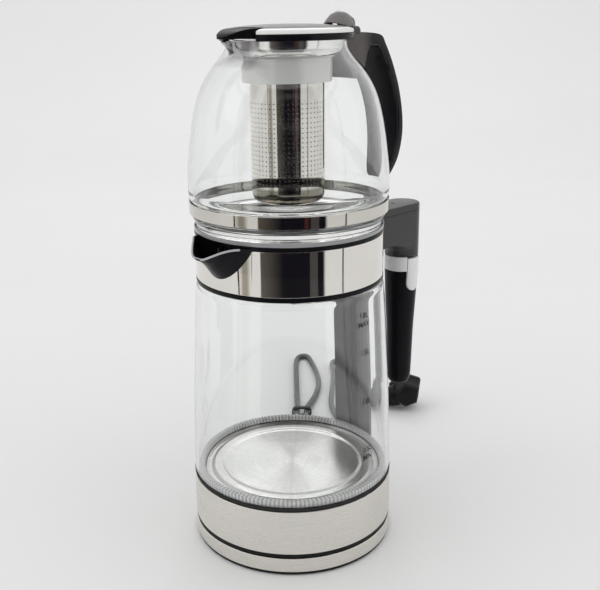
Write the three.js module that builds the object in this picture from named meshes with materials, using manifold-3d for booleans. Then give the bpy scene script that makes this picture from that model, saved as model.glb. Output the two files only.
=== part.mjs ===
// Electric tea maker: a glass kettle on a cordless power base, and a glass teapot that stands on the
// kettle's lid. Millimetres, +Z up. The origin is on the table under the middle of the base. The
// kettle's handle points along +X and its spout along -X.
import * as THREE from "three";
import { mergeVertices } from "three/addons/utils/BufferGeometryUtils.js";
import Module from "manifold-3d";

const wasm = await Module();
wasm.setup();

// Clearances and curve counts
const GAP = 0.3;
const OVERRUN = 3;
const HALF_TURN = Math.PI;
const FULL_TURN = 2 * Math.PI;
const ROUND = 32;
const INFUSER_ROUND = 20;
const HIDDEN_ROUND = 16;
const SMALL_ROUND = 12;
const TINY_ROUND = 8;

// Steel bands and the power base
const bodyRadius = 73;
const bandWall = 0.8;
const baseHeight = 13.6;
const footTall = 1.6;
const footRadius = 6;
const footInset = 15;
const footSink = 1.1;
const rimFeet = 3;
const middleFootRadius = 14;
const trayClearance = 0.8;
const trayPlate = 2.2;
const trayWall = 2.2;
const trayLip = 2;
const baseCoverPlate = 2.3;
const baseScrewInset = 28;
const standRadius = 19;
const standWall = 4;
const standHeight = 3.7;

// Screws
const screwCount = 3;
const screwHeadRadius = 3.2;
const screwHeadTall = 0.7;
const screwShankRadius = 1.5;
const screwHeadSink = 1.2;
const bossRadius = 4.2;

// Round connector and its socket
const connectorRadius = 16.9;
const connectorTop = 20.5;
const connectorFlangeRadius = 19.5;
const connectorFlangeTall = 4;
const slotFloor = 11.5;
const slotPlay = 0.6;
const pinRadius = 2.4;
const innerContactRadius = 7.1;
const outerContactRadius = 11.9;
const contactWall = 0.6;
const contactReach = 7.5;
const wellPlay = 1.1;
const wellWall = 2.2;
const socketGapAbove = 1;
const socketBody = 4.8;
const socketFlangeRadius = 22;
const socketFlangeTall = 2.2;

// Kettle base
const kettleLip = 2.8;
const kettleFloor = 2.2;
const skirtWall = 2;
const skirtTop = 24;
const kettleBandTall = 32.6;
const housingLedge = 3;
const ledgeUnderPlate = 2.4;
const housingBossInset = 8.4;
const ribWall = 3;
const sealTall = 2.3;
const plateInset = 8.6;
const plateWall = 1.2;
const plateRise = 0.3;
const plateRimWide = 9;
const plateFlangeWide = 4.4;
const plateRimRise = 0.8;
const plateEdgeRise = 1.1;
const spreaderInset = 1;
const spreaderWall = 2.4;
const elementInset = 14;
const elementRadius = 3.4;
const elementSweep = 300;
const elementTail = 9;
const controlLengthShare = 1.22;
const controlWidthShare = 0.94;
const controlFillet = 5;
const discRadius = 8;
const discWall = 0.6;
const discPocket = 0.9;
const seatRingWall = 4.3;
const seatRingTall = 3.5;
const seatRingRibs = 48;
const seatRingRibDepth = 0.9;

// Kettle glass
const glassWall = 2.6;
const glassFootInset = 0.5;
const glassWaistRise = 51.5;
const glassWaistTaper = 1.3;
const glassUpperBelow = 17.9;
const glassUpperTaper = 4;
const glassShoulderBelow = 4.9;
const glassShoulderTaper = 1;
const neckTurnIn = 4.2;
const neckTall = 14.1;

// Collar
const collarZ = 195.9;
const collarProud = 3.5;
const gasketTall = 3;
const collarBandRise = 33.4;
const collarWall = 2;
const collarMouthInset = 1.8;
const collarRimTall = 2.4;
const collarRimProud = 0.2;
const collarRimRound = 0.4;

// Kettle spout
const spoutHalfRoot = 26;
const spoutLength = 17;
const spoutWall = 1.7;
const lipDrop = 7.2;
const keelRootRise = 10.6;
const keelTipRise = 27.1;
const filterWall = 1.2;
const filterBars = 15;
const filterBarWide = 1.1;

// Kettle lid
const lidSealRoom = 2.4;
const lidPlugWall = 2.4;
const lidPlugTall = 7.3;
const lidFlangeWall = 1.1;
const lidLipTall = 1.6;
const lidLipWall = 0.7;
const lidShelf = 2.9;
const lidDiscWall = 1;
const steamHoleRadius = 3;
const steamHoleCircle = 24;
const steamHoles = 8;
const lidSealTall = 2.4;

// Kettle handle
const handleReach = 53;
const handleRadius = 13.4;
const handleArmRise = 4.1;
const housingRise = 28.1;
const housingDrop = 8.6;
const handleWall = 2.4;
const rootReach = 24;
const capTall = 5.6;
const capBevel = 1.6;
const trimTall = 11.7;
const trimWall = 2.9;
const gripDrop = 119.9;
const gripTopInset = 0.2;
const gripMiddleDrop = 70.9;
const gripMiddleTaper = 2.3;
const gripLowTaper = 1;
const lugHalf = 8;
const lugTall = 9;
const lugLength = 22.5;
const ductRadius = 2.6;
const lugScrewAway = 10.5;
const lugScrewY = 5.2;
const switchLength = 28;
const switchWidth = 15;
const switchTall = 12;
const switchInset = 8;
const lensRadius = 1;
const lensInset = 12;
const leverHalf = 6.6;
const leverLength = 26.8;
const leverTopDrop = 10.3;
const leverProud = 0.5;
const leverDepth = 4.6;
const leverPinBelow = 3;
const leverPinInset = 3.4;
const leverPinRadius = 0.7;
const leverPinHalf = 7.1;
const leverPlay = 0.7;

// Spine that hides the leads behind the glass
const spineHalfAngle = 15;
const spineWall = 4.2;
const spineGroove = 3.1;
const spineGrooveHalf = 4.5;
const leadRadius = 1.1;
const leadOffset = 2;

// Teapot glass
const potWall = 2.2;
const potFootInset = 1;
const potBandRise = 10.8;
const potBandTall = 7.9;
const potBandProud = 4.2;
const potBellyRise = 28.3;
const potBellyTaper = 0.1;
const potShoulderRise = 76.3;
const potShoulderTaper = 5.6;
const potCrownRise = 104.3;
const potCrownShare = 0.8016;
const potNeckTall = 4.5;
const potNeckShare = 0.8;
const potTall = 123.3;
const potFloor = 3;
const beakLength = 15.1;
const beakHalfRoot = 13.8;
const beakHalfTip = 4.5;
const beakDeep = 13;

// Teapot neck ring, lid and flap
const neckRingProud = 3.8;
const neckRingTall = 3.6;
const neckRingSkirt = 0.6;
const neckRingInset = 0.3;
const neckRingGapHalf = 15.3;
const lidInset = 0.3;
const lidRise = 9.5;
const lidEdge = 1.6;
const linerInset = 3;
const linerTall = 2;
const armTall = 3;
const hingeAway = 11.3;
const hingeRise = 3.2;
const hingePinRadius = 1.5;
const knuckleRadius = 3.1;
const knuckleHalf = 6.5;
const tabHalf = 11;
const tabInset = 4.5;
const tabReach = 9.6;
const tabPlanReach = 10.4;
const tabRise = 13.8;
const flapPivotInset = 4.4;
const flapPivotRise = 5.5;
const flapBarrelRadius = 1.9;
const flapOverhang = 1.5;
const flapHalf = 15;
const flapTipHalf = 9;
const flapFront = 1.2;
const flapPinRadius = 0.8;
const flapPinReach = 2;
const flapWall = 1.8;

// Teapot handle
const potHandleHalf = 13;
const potHandleLength = 67.6;
const potHandleTall = 108;
const potHandleRise = 4;
const earRadius = 3.6;
const linerDepth = 2.6;
const linerMargin = 2.4;

// Infuser
const funnelWall = 0.6;
const funnelTopInset = 3.2;
const funnelFlangeInset = 0.8;
const funnelShare = 0.8065;
const funnelDeep = 27.4;
const funnelMouthDeep = 12;
const basketShare = 0.8333;
const basketWall = 0.6;
const basketAboveFoot = 15.9;
const basketRimInset = 1.4;

// Cord, strain relief, tie and plug
const cordRadius = 3;
const cordSides = 8;
const cordSteps = 70;
const exitAngle = 45.5;
const exitZ = 7.2;
const reliefNeck = 3.5;
const reliefRoot = 4.6;
const reliefTip = 3.9;
const reliefLength = 24;
const reliefFlangeWide = 12;
const reliefFlangeTall = 7;
const reliefFlangeWall = 2;
const plugTail = [131, 17.3, 6];
const plugHeart = [153.2, -4.9, 16.8];
const plugDepth = 24;
const plugFaceRadius = 16.6;
const plugBackRadius = 12.5;
const plugBootRadius = 7.5;
const plugTailRadius = 4.4;
const plugSides = 14;
const plugPinRadius = 2.4;
const plugPinLength = 19;
const plugPinOffset = 9.5;
const tieAt = [69.5, 55.7, 4.8];
const tieHalf = 8.6;
const tieWall = 1.1;
const tieWide = 5;

// The cord's route on the table, from the strain relief to the plug, as the photographed loops lie.
// X and Y are from the strain relief's tip.
const cordRoute = [
  [4.5, 4.6, 7.2],
  [10.8, 11.0, 6.4],
  [18.9, 18.5, 4.6],
  [29.8, 27.4, 3.2],
  [42.7, 38.5, 3.4],
  [55.7, 49.6, 4.4],
  [65.9, 59.2, 4.8],
  [76.1, 68.8, 4.4],
  [88.7, 81.7, 3.2],
  [107.6, 100.9, 3.1],
  [128.6, 122.3, 3.1],
  [148.3, 142.3, 3.1],
  [160.9, 155.1, 3.1],
  [170.4, 162.7, 3.1],
  [178.8, 164.1, 3.1],
  [181.0, 157.8, 3.1],
  [175.8, 146.1, 3.1],
  [164.6, 129.0, 3.1],
  [151.4, 111.2, 3.1],
  [134.5, 92.7, 3.1],
  [116.3, 78.4, 3.1],
  [96.6, 66.9, 3.4],
  [83.6, 60.1, 4.4],
  [73.0, 52.2, 4.8],
  [62.0, 43.4, 4.4],
  [51.3, 34.3, 3.2],
  [42.9, 25.7, 3.1],
  [38.4, 13.4, 3.1],
  [44.1, -0.0, 3.1],
  [57.6, -5.6, 3.1],
  [71.4, 0.6, 3.1],
  [85.0, 18.0, 3.1],
  [95.8, 35.4, 3.1],
  [107.0, 48.3, 3.1],
  [122.8, 62.2, 3.1],
  [143.9, 79.3, 3.1],
  [165.3, 97.6, 3.1],
  [181.0, 112.9, 3.1],
  [191.6, 120.8, 3.1],
  [199.7, 121.2, 3.1],
  [199.1, 112.0, 3.1],
  [189.7, 97.4, 3.1],
  [175.7, 79.9, 3.1],
  [161.1, 66.2, 3.1],
  [144.1, 53.9, 3.1],
  [131.1, 44.4, 3.1],
  [124.9, 38.2, 3.1],
  [123.1, 32.4, 3.1],
  [124.0, 25.9, 3.3],
];

// Heights and radii that follow from the sizes above
const bandInner = bodyRadius - bandWall;
const reliefTurn = THREE.MathUtils.degToRad(exitAngle);
const reliefEnd = bodyRadius + reliefLength + 2 * GAP;
const footCircle = bodyRadius - footInset;
const baseScrewCircle = bodyRadius - baseScrewInset;
const kettleLipRadius = bodyRadius - 2 * GAP;
const sealRadius = bodyRadius - GAP;
const housingBossCircle = bodyRadius - housingBossInset;
const plateRadius = bodyRadius - plateInset;
const plateRimRadius = plateRadius - plateFlangeWide;
const plateFlat = plateRimRadius - plateRimWide;
const housingLedgeRadius = plateRadius - ledgeUnderPlate;
const spreaderRadius = plateFlat - spreaderInset;
const elementRing = spreaderRadius - elementInset;
const trayRadius = bandInner - 0.5 * GAP;
const trayTop = trayClearance + trayPlate;
const lipTop = trayClearance + trayLip;
const coverBottom = baseHeight - baseCoverPlate;
const kettleZ = baseHeight + GAP;
const wellRadius = connectorRadius + wellPlay;
const socketZ = connectorTop + socketGapAbove;
const socketFlangeZ = socketZ + socketBody;
const wellTop = socketFlangeZ - GAP;
const controlZ = socketFlangeZ + socketFlangeTall + GAP;
const kettleBandZ = kettleZ + kettleLip + GAP;
const kettleBandTop = kettleBandZ + kettleBandTall;
const sealZ = kettleBandTop + GAP;
const sealTop = sealZ + sealTall;
const glassZ = sealTop + GAP;
const plateTop = sealZ + plateWall + plateRise;
const spreaderTop = plateTop - plateWall - GAP;
const elementZ = spreaderTop - spreaderWall + GAP - elementRadius;
const controlTop = spreaderTop - spreaderWall - 2 * GAP;
const glassFootRadius = bodyRadius - glassFootInset;
const glassWaistRadius = glassFootRadius - glassWaistTaper;
const glassUpperRadius = glassWaistRadius - glassUpperTaper;
const glassShoulderRadius = glassUpperRadius - glassShoulderTaper;
const neckRadius = glassShoulderRadius - neckTurnIn;
const glassWaistZ = glassZ + glassWaistRise;
const glassUpperZ = collarZ - glassUpperBelow;
const glassShoulderZ = collarZ - glassShoulderBelow;
const neckTop = collarZ + neckTall;
const collarRadius = neckRadius + collarProud;
const collarMouthRadius = neckRadius - collarMouthInset;
const collarRimRadius = collarRadius + collarRimProud;
const collarBandTop = collarZ + collarBandRise;
const spoutReach = collarRadius + spoutLength;
const keelRootZ = collarZ + keelRootRise;
const keelTipZ = collarZ + keelTipRise;
const lidPlugRadius = collarMouthRadius - lidSealRoom;
const frameZ = collarZ + gasketTall + GAP;
const frameWallRadius = collarRadius - bandWall - GAP;
const frameTop = collarBandTop + GAP + collarRimTall;
const lidZ = frameTop + GAP;
const lipZ = frameTop - 2 * collarRimRound;
const handleX = bodyRadius + handleReach;
const handleArmZ = collarZ + handleArmRise;
const housingTop = collarZ + housingRise;
const housingBottom = collarZ - housingDrop;
const capTop = housingTop + capTall;
const lugZ = neckTop;
const lugReach = collarRadius + lugLength;
const lugScrewX = collarRadius + lugScrewAway;
const switchX = handleX - switchInset;
const lensX = handleX - lensInset;
const gripBottom = collarZ - gripDrop;
const gripMiddleZ = collarZ - gripMiddleDrop;
const gripTopRadius = handleRadius - gripTopInset;
const gripMiddleRadius = gripTopRadius - gripMiddleTaper;
const gripLowRadius = gripMiddleRadius - gripLowTaper;
const leverTop = collarZ - leverTopDrop;
const leverBottom = leverTop - leverLength;
const leverInner = handleRadius - leverDepth;
const leverPinZ = leverTop - leverPinBelow;
const leverPinOffset = handleRadius - leverPinInset;
const trimTop = housingBottom - GAP;
const trimZ = trimTop - trimTall;
const gripTop = trimZ - GAP;
const handleRoot = collarRimRadius + GAP;
const potFootZ = lidZ + lidFlangeWall + GAP;
const potFootRadius = collarRadius - potFootInset;
const potBandZ = potFootZ + potBandRise;
const potBandRadius = potFootRadius + potBandProud;
const potBellyZ = potFootZ + potBellyRise;
const potBellyRadius = potBandRadius - potBellyTaper;
const potShoulderZ = potFootZ + potShoulderRise;
const potShoulderRadius = potBellyRadius - potShoulderTaper;
const potCrownZ = potFootZ + potCrownRise;
const potCrownRadius = potCrownShare * potShoulderRadius;
const potTop = potFootZ + potTall;
const potNeckZ = potTop - potNeckTall;
const potNeckRadius = potNeckShare * potCrownRadius;
const beakReach = potNeckRadius + beakLength;
const beakKeelRootZ = potTop - beakDeep;
const neckRingRadius = potNeckRadius + neckRingProud;
const neckRingMouth = potNeckRadius - neckRingInset;
const lidRadius = neckRingRadius - lidInset;
const lidTop = potTop + lidRise;
const linerRadius = potNeckRadius - linerInset;
const hingeX = neckRingRadius + hingeAway;
const hingeZ = potTop + hingeRise;
const tabX = hingeX - tabInset;
const flapPivotX = potNeckRadius - flapPivotInset;
const flapPivotZ = potTop + flapPivotRise;
const flapTip = beakReach + flapOverhang;
const potHandleReach = potNeckRadius + potHandleLength;
const potHandleTop = potTop + potHandleRise;
const potHandleTipZ = potHandleTop - potHandleTall;
const funnelTopRadius = potNeckRadius - funnelTopInset;
const funnelFlangeRadius = potNeckRadius - funnelFlangeInset;
const funnelRadius = funnelShare * funnelTopRadius;
const funnelBottomZ = potTop - funnelDeep;
const funnelNeckZ = potTop - funnelMouthDeep;
const basketRadius = basketShare * funnelRadius;
const basketRimRadius = funnelRadius - basketRimInset;
const basketBottomZ = potFootZ + basketAboveFoot;
const neckRingZ = potTop - neckRingSkirt;
const potLidZ = neckRingZ + neckRingTall + 2 * GAP;

function radians(degrees) {
  return THREE.MathUtils.degToRad(degrees);
}

// A closed manifold solid from a three.js geometry, with its faces turned out.
function solid(geometry) {
  const bare = geometry.clone();
  for (const name of ["normal", "uv"]) bare.deleteAttribute(name);
  const merged = mergeVertices(bare, 1e-4);
  const triVerts = new Uint32Array(merged.index.array);
  const vertProperties = new Float32Array(merged.attributes.position.array);
  const made = new wasm.Manifold(new wasm.Mesh({ numProp: 3, vertProperties, triVerts }));
  if (made.volume() > 0) return made;
  for (let i = 0; i < triVerts.length; i += 3) {
    [triVerts[i + 1], triVerts[i + 2]] = [triVerts[i + 2], triVerts[i + 1]];
  }
  return new wasm.Manifold(new wasm.Mesh({ numProp: 3, vertProperties, triVerts }));
}

// The three.js geometry of a manifold solid.
function geometryOf(shape) {
  const mesh = shape.getMesh();
  const geometry = new THREE.BufferGeometry();
  geometry.setAttribute("position", new THREE.BufferAttribute(new Float32Array(mesh.vertProperties), 3));
  geometry.setIndex(new THREE.BufferAttribute(new Uint32Array(mesh.triVerts), 1));
  const flat = geometry.toNonIndexed();
  flat.computeVertexNormals();
  return flat;
}

function joined(shapes) {
  return shapes.reduce((sum, shape) => sum.add(shape));
}

function cut(shape, ...cutters) {
  return cutters.reduce((rest, cutter) => rest.subtract(cutter), shape);
}

// A profile of [radius, height] points turned about the Z axis. A profile that leaves the axis at
// both ends is closed on itself.
function turnedGeometry(profile, segments) {
  const open = profile[0][0] > 0 || profile.at(-1)[0] > 0;
  const points = (open ? [...profile, profile[0]] : profile).map(([r, z]) => new THREE.Vector2(r, z));
  return new THREE.LatheGeometry(points, segments).rotateX(HALF_TURN / 2);
}

function turned(profile, segments = ROUND) {
  return solid(turnedGeometry(profile, segments));
}

function ring(inner, outer, low, high, segments = ROUND) {
  const profile = [
    [inner, low],
    [outer, low],
    [outer, high],
    [inner, high],
  ];
  return turned(profile, segments);
}

function disc(radius, low, high, segments = SMALL_ROUND, x = 0, y = 0) {
  const geometry = new THREE.CylinderGeometry(radius, radius, high - low, segments);
  geometry.rotateX(HALF_TURN / 2).translate(x, y, (low + high) / 2);
  return solid(geometry);
}

// A round bar along X or Y, between two places on that axis.
function bar(axis, radius, low, high, [u, z], segments = SMALL_ROUND) {
  const geometry = new THREE.CylinderGeometry(radius, radius, high - low, segments);
  const middle = (low + high) / 2;
  if (axis === "x") geometry.rotateZ(HALF_TURN / 2).translate(middle, u, z);
  else geometry.translate(u, middle, z);
  return solid(geometry);
}

function block([x0, y0, z0], [x1, y1, z1]) {
  const geometry = new THREE.BoxGeometry(x1 - x0, y1 - y0, z1 - z0);
  geometry.translate((x0 + x1) / 2, (y0 + y1) / 2, (z0 + z1) / 2);
  return solid(geometry);
}

// A plan outline raised from one height to another.
function raised(shape, low, high, options = {}) {
  const depth = high - low;
  const settings = { depth, bevelEnabled: false, curveSegments: TINY_ROUND, ...options };
  return solid(new THREE.ExtrudeGeometry(shape, settings).translate(0, 0, low));
}

// A side outline drawn as [x, z], widened along Y to both sides.
function widened(shape, half, curveSegments = TINY_ROUND) {
  const settings = { depth: 2 * half, bevelEnabled: false, curveSegments };
  const geometry = new THREE.ExtrudeGeometry(shape, settings).translate(0, 0, -half);
  return solid(geometry.rotateX(HALF_TURN / 2));
}

// A front outline drawn as [y, z], lengthened along X.
function lengthened(shape, low, high, curveSegments = TINY_ROUND) {
  const settings = { depth: high - low, bevelEnabled: false, curveSegments };
  const geometry = new THREE.ExtrudeGeometry(shape, settings).translate(0, 0, low);
  return solid(geometry.rotateX(HALF_TURN / 2).rotateZ(HALF_TURN / 2));
}

function outline(points) {
  return new THREE.Shape(points.map(([x, y]) => new THREE.Vector2(x, y)));
}

// A smooth closed outline through points, with straight runs where two points repeat a direction.
function smoothRun(points, count) {
  const curve = new THREE.SplineCurve(points.map(([x, y]) => new THREE.Vector2(x, y)));
  return curve.getPoints(count).map((p) => [p.x, p.y]);
}

// A profile moved sideways by a distance, to its left as it is drawn.
function inset(points, distance) {
  return points.map((point, i) => {
    const before = points[Math.max(i - 1, 0)];
    const after = points[Math.min(i + 1, points.length - 1)];
    const length = Math.hypot(after[0] - before[0], after[1] - before[1]);
    const normal = [-(after[1] - before[1]) / length, (after[0] - before[0]) / length];
    return [point[0] + distance * normal[0], point[1] + distance * normal[1]];
  });
}

// A skin over like-sized rings of points, closed at both ends.
function lofted(rings) {
  const size = rings[0].length;
  const positions = rings.flat().flat();
  const index = [];
  for (let r = 0; r + 1 < rings.length; r += 1) {
    for (let i = 0; i < size; i += 1) {
      const a = r * size + i;
      const b = r * size + ((i + 1) % size);
      index.push(a, b, a + size, b, b + size, a + size);
    }
  }
  const last = (rings.length - 1) * size;
  for (let i = 1; i + 1 < size; i += 1) {
    index.push(0, i + 1, i);
    index.push(last, last + i, last + i + 1);
  }
  const geometry = new THREE.BufferGeometry();
  geometry.setAttribute("position", new THREE.Float32BufferAttribute(positions, 3));
  geometry.setIndex(index);
  return solid(geometry);
}

// A round section swept along a path.
function tube(path, radius, steps, sides) {
  const section = new THREE.Shape(
    Array.from({ length: sides }, (_, i) => {
      const angle = (i / sides) * FULL_TURN;
      return new THREE.Vector2(radius * Math.cos(angle), radius * Math.sin(angle));
    })
  );
  return solid(new THREE.ExtrudeGeometry(section, { steps, bevelEnabled: false, extrudePath: path }));
}

function around(count, radius, offset = 0) {
  return Array.from({ length: count }, (_, i) => {
    const angle = offset + (i / count) * FULL_TURN;
    return [radius * Math.cos(angle), radius * Math.sin(angle)];
  });
}

// Places of the screws under the power base and under the kettle
const baseScrewPlaces = around(screwCount, baseScrewCircle, HALF_TURN / 2);
const kettleScrewPlaces = around(screwCount, housingBossCircle, HALF_TURN / 6);

// Screw with its head down, driven upwards from a countersink.
function screw([x, y], low, top) {
  const headTop = low + screwHeadTall;
  const head = disc(screwHeadRadius, low, headTop, TINY_ROUND, x, y);
  return head.add(disc(screwShankRadius, low + screwHeadTall / 2, top, TINY_ROUND, x, y));
}

function screwHole([x, y], low, top) {
  const sink = disc(screwHeadRadius + GAP, low - OVERRUN, low + screwHeadSink, TINY_ROUND, x, y);
  return sink.add(disc(screwShankRadius + GAP, low, top, TINY_ROUND, x, y));
}

// Power base

const footPlaces = around(rimFeet, footCircle, -HALF_TURN / 6);

function baseFoot([x, y]) {
  return disc(footRadius, 0, footTall, SMALL_ROUND, x, y);
}

// The hole in the base's wall that the strain relief passes through.
function exitHole(radius) {
  const geometry = new THREE.CylinderGeometry(radius, radius, 4 * trayWall + 2 * OVERRUN, TINY_ROUND);
  geometry.rotateZ(HALF_TURN / 2).translate(bodyRadius - trayWall, 0, exitZ);
  return solid(geometry.rotateZ(reliefTurn));
}

function baseTray() {
  const profile = [
    [0, 0],
    [middleFootRadius, 0],
    [middleFootRadius + trayClearance, trayClearance],
    [trayRadius + GAP, trayClearance],
    [trayRadius + GAP, lipTop],
    [trayRadius, lipTop],
    [trayRadius, coverBottom - GAP],
    [trayRadius - trayWall, coverBottom - GAP],
    [trayRadius - trayWall, trayTop],
    [0, trayTop],
  ];
  const stand = ring(standRadius - standWall, standRadius, trayTop - GAP, trayTop + standHeight, HIDDEN_ROUND);
  const seats = footPlaces.map(([x, y]) =>
    disc(footRadius + GAP, trayClearance - OVERRUN, trayClearance + footSink, SMALL_ROUND, x, y)
  );
  const holes = baseScrewPlaces.map((place) => screwHole(place, trayClearance, trayTop + OVERRUN));
  return cut(turned(profile).add(stand), ...seats, ...holes, exitHole(reliefNeck + GAP));
}

function baseBand() {
  return cut(ring(bandInner, bodyRadius, lipTop + GAP, baseHeight), exitHole(reliefNeck + GAP));
}

function baseTop() {
  const plate = ring(connectorRadius + GAP, bandInner - GAP, coverBottom, baseHeight);
  const bosses = baseScrewPlaces.map(([x, y]) =>
    disc(bossRadius, trayTop + GAP, coverBottom + GAP, SMALL_ROUND, x, y)
  );
  const holes = baseScrewPlaces.map(([x, y]) =>
    disc(screwShankRadius + GAP, trayTop - OVERRUN, coverBottom - GAP, TINY_ROUND, x, y)
  );
  return cut(joined([plate, ...bosses]), ...holes);
}

function baseScrew(place) {
  return screw(place, trayClearance + GAP / 2, coverBottom - 2 * GAP);
}

// The base's half of the round connector: a stub with a hole and two ring slots from above.
function baseConnector() {
  const flangeTop = coverBottom - GAP;
  const flangeZ = flangeTop - connectorFlangeTall;
  const half = contactWall / 2 + slotPlay;
  const slots = [innerContactRadius, outerContactRadius].map((r) => [r - half, r + half]);
  const profile = [
    [0, flangeZ],
    [connectorFlangeRadius, flangeZ],
    [connectorFlangeRadius, flangeTop],
    [connectorRadius, flangeTop],
    [connectorRadius, connectorTop],
    ...slots.reverse().flatMap(([inner, outer]) => [
      [outer, connectorTop],
      [outer, slotFloor],
      [inner, slotFloor],
      [inner, connectorTop],
    ]),
    [pinRadius + slotPlay, connectorTop],
    [pinRadius + slotPlay, slotFloor],
    [0, slotFloor],
  ];
  return turned(profile, HIDDEN_ROUND);
}

// Kettle base

function kettleBottom() {
  const top = kettleZ + kettleFloor;
  const profile = [
    [wellRadius, kettleZ],
    [kettleLipRadius, kettleZ],
    [kettleLipRadius, kettleZ + kettleLip],
    [bandInner - GAP, kettleZ + kettleLip],
    [bandInner - GAP, skirtTop],
    [bandInner - GAP - skirtWall, skirtTop],
    [bandInner - GAP - skirtWall, top],
    [wellRadius + wellWall, top],
    [wellRadius + wellWall, wellTop],
    [wellRadius, wellTop],
  ];
  const holes = kettleScrewPlaces.map((place) => screwHole(place, kettleZ, top + OVERRUN));
  return cut(turned(profile), ...holes);
}

// The kettle's half of the connector: a round body with a pin and two contact rings hanging from it.
function kettleSocket() {
  const low = socketZ - contactReach;
  const half = contactWall / 2;
  const profile = [
    [0, low],
    [pinRadius, low],
    [pinRadius, socketZ],
    ...[innerContactRadius, outerContactRadius].flatMap((r) => [
      [r - half, socketZ],
      [r - half, low],
      [r + half, low],
      [r + half, socketZ],
    ]),
    [wellRadius - GAP, socketZ],
    [wellRadius - GAP, socketFlangeZ],
    [socketFlangeRadius, socketFlangeZ],
    [socketFlangeRadius, socketFlangeZ + socketFlangeTall],
    [0, socketFlangeZ + socketFlangeTall],
  ];
  return turned(profile, HIDDEN_ROUND);
}

function kettleBand() {
  return ring(bandInner, bodyRadius, kettleBandZ, kettleBandTop);
}

// The frame that carries the heating plate and the glass inside the steel band.
function baseHousing() {
  const outer = bandInner - GAP;
  const low = skirtTop + GAP;
  const ledgeZ = kettleBandTop - housingLedge;
  const profile = [
    [outer - skirtWall, low],
    [outer, low],
    [outer, kettleBandTop],
    [housingLedgeRadius, kettleBandTop],
    [housingLedgeRadius, ledgeZ],
    [outer - skirtWall, ledgeZ],
  ];
  const bossZ = kettleZ + kettleFloor + GAP;
  const bosses = kettleScrewPlaces.map(([x, y]) => disc(bossRadius, bossZ, ledgeZ + GAP, SMALL_ROUND, x, y));
  const ribs = kettleScrewPlaces.map(([x, y]) => {
    const reach = outer - skirtWall / 2 - housingBossCircle;
    const geometry = new THREE.BoxGeometry(reach, ribWall, ledgeZ - low);
    geometry.translate(housingBossCircle + reach / 2, 0, (ledgeZ + low) / 2 + GAP);
    return solid(geometry.rotateZ(Math.atan2(y, x)));
  });
  const holes = kettleScrewPlaces.map(([x, y]) =>
    disc(screwShankRadius + GAP, bossZ - OVERRUN, skirtTop + screwHeadRadius, TINY_ROUND, x, y)
  );
  return cut(joined([turned(profile), ...bosses, ...ribs]), ...holes);
}

function kettleScrew(place) {
  return screw(place, kettleZ + GAP / 2, skirtTop + screwHeadRadius - GAP);
}

function kettleSeal() {
  return ring(plateRadius + GAP, sealRadius, sealZ, sealTop);
}

// Ring of clear plastic inside the foot of the glass, ribbed on its inner side.
function seatRing() {
  const outer = glassFootRadius - glassWall - 1.5 * GAP;
  const inner = outer - seatRingWall;
  const shape = outline(around(ROUND, outer));
  const hole = Array.from({ length: 2 * seatRingRibs }, (_, i) => {
    const angle = (i / (2 * seatRingRibs)) * FULL_TURN;
    const radius = i % 2 ? inner : inner + seatRingRibDepth;
    return new THREE.Vector2(radius * Math.cos(angle), radius * Math.sin(angle));
  });
  shape.holes.push(new THREE.Path(hole));
  return raised(shape, glassZ, glassZ + seatRingTall);
}

function heatingPlate() {
  const flange = plateTop - GAP;
  const edge = flange + plateEdgeRise;
  const rim = plateTop + plateRimRise;
  const step = plateRimRadius - plateFlat;
  const top = [
    [0, plateTop],
    [plateFlat, plateTop],
    [plateFlat + step / 6, rim],
    [plateRimRadius - step / 6, rim],
    [plateRimRadius, flange],
    [plateRadius - plateWall, flange],
    [plateRadius - plateWall, edge],
    [plateRadius, edge],
  ];
  const under = [
    [plateRadius, sealZ],
    [plateRimRadius - plateWall / 2, sealZ],
    [plateRimRadius - step / 6 - plateWall / 2, rim - plateWall],
    [plateFlat + step / 6 + plateWall / 2, rim - plateWall],
    [plateFlat + plateWall / 2, plateTop - plateWall],
    [0, plateTop - plateWall],
  ];
  return turned([...top, ...under]);
}

// Aluminium disc with a tubular element brazed to it in a broken ring, both ends turned down.
function heatingElement() {
  const spreader = disc(spreaderRadius, spreaderTop - spreaderWall, spreaderTop, HIDDEN_ROUND);
  const half = radians(elementSweep / 2);
  const count = 10;
  const arc = Array.from({ length: count + 1 }, (_, i) => {
    const angle = -half + (2 * half * i) / count;
    return new THREE.Vector3(elementRing * Math.cos(angle), elementRing * Math.sin(angle), elementZ);
  });
  const turnedDown = (from, beside) => {
    const along = from.clone().sub(beside).normalize().multiplyScalar(elementRadius);
    const bend = from.clone().add(along);
    return [
      bend.clone().setZ(elementZ - elementRadius),
      bend.clone().setZ(elementZ - elementTail),
    ];
  };
  const start = turnedDown(arc[0], arc[1]).reverse();
  const end = turnedDown(arc[count], arc[count - 1]);
  const path = new THREE.CatmullRomCurve3([...start, ...arc, ...end], false, "centripetal");
  return spreader.add(tube(path, elementRadius, 2 * count, 6));
}

function controlUnit() {
  const x = (controlLengthShare * elementRing) / 2 - controlFillet;
  const y = (controlWidthShare * elementRing) / 2 - controlFillet;
  const shape = new THREE.Shape();
  shape.absarc(x, y, controlFillet, 0, HALF_TURN / 2);
  shape.absarc(-x, y, controlFillet, HALF_TURN / 2, HALF_TURN);
  shape.absarc(-x, -y, controlFillet, HALF_TURN, 1.5 * HALF_TURN);
  shape.absarc(x, -y, controlFillet, 1.5 * HALF_TURN, FULL_TURN);
  const pocket = disc(discRadius + GAP, controlTop - discPocket, controlTop + OVERRUN, SMALL_ROUND);
  return cut(raised(shape, controlZ, controlTop, { curveSegments: 4 }), pocket);
}

// Bimetal disc that trips the switch when the plate runs dry.
function bimetalDisc() {
  const low = controlTop - discPocket + GAP;
  return disc(discRadius, low, low + discWall, SMALL_ROUND);
}

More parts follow.
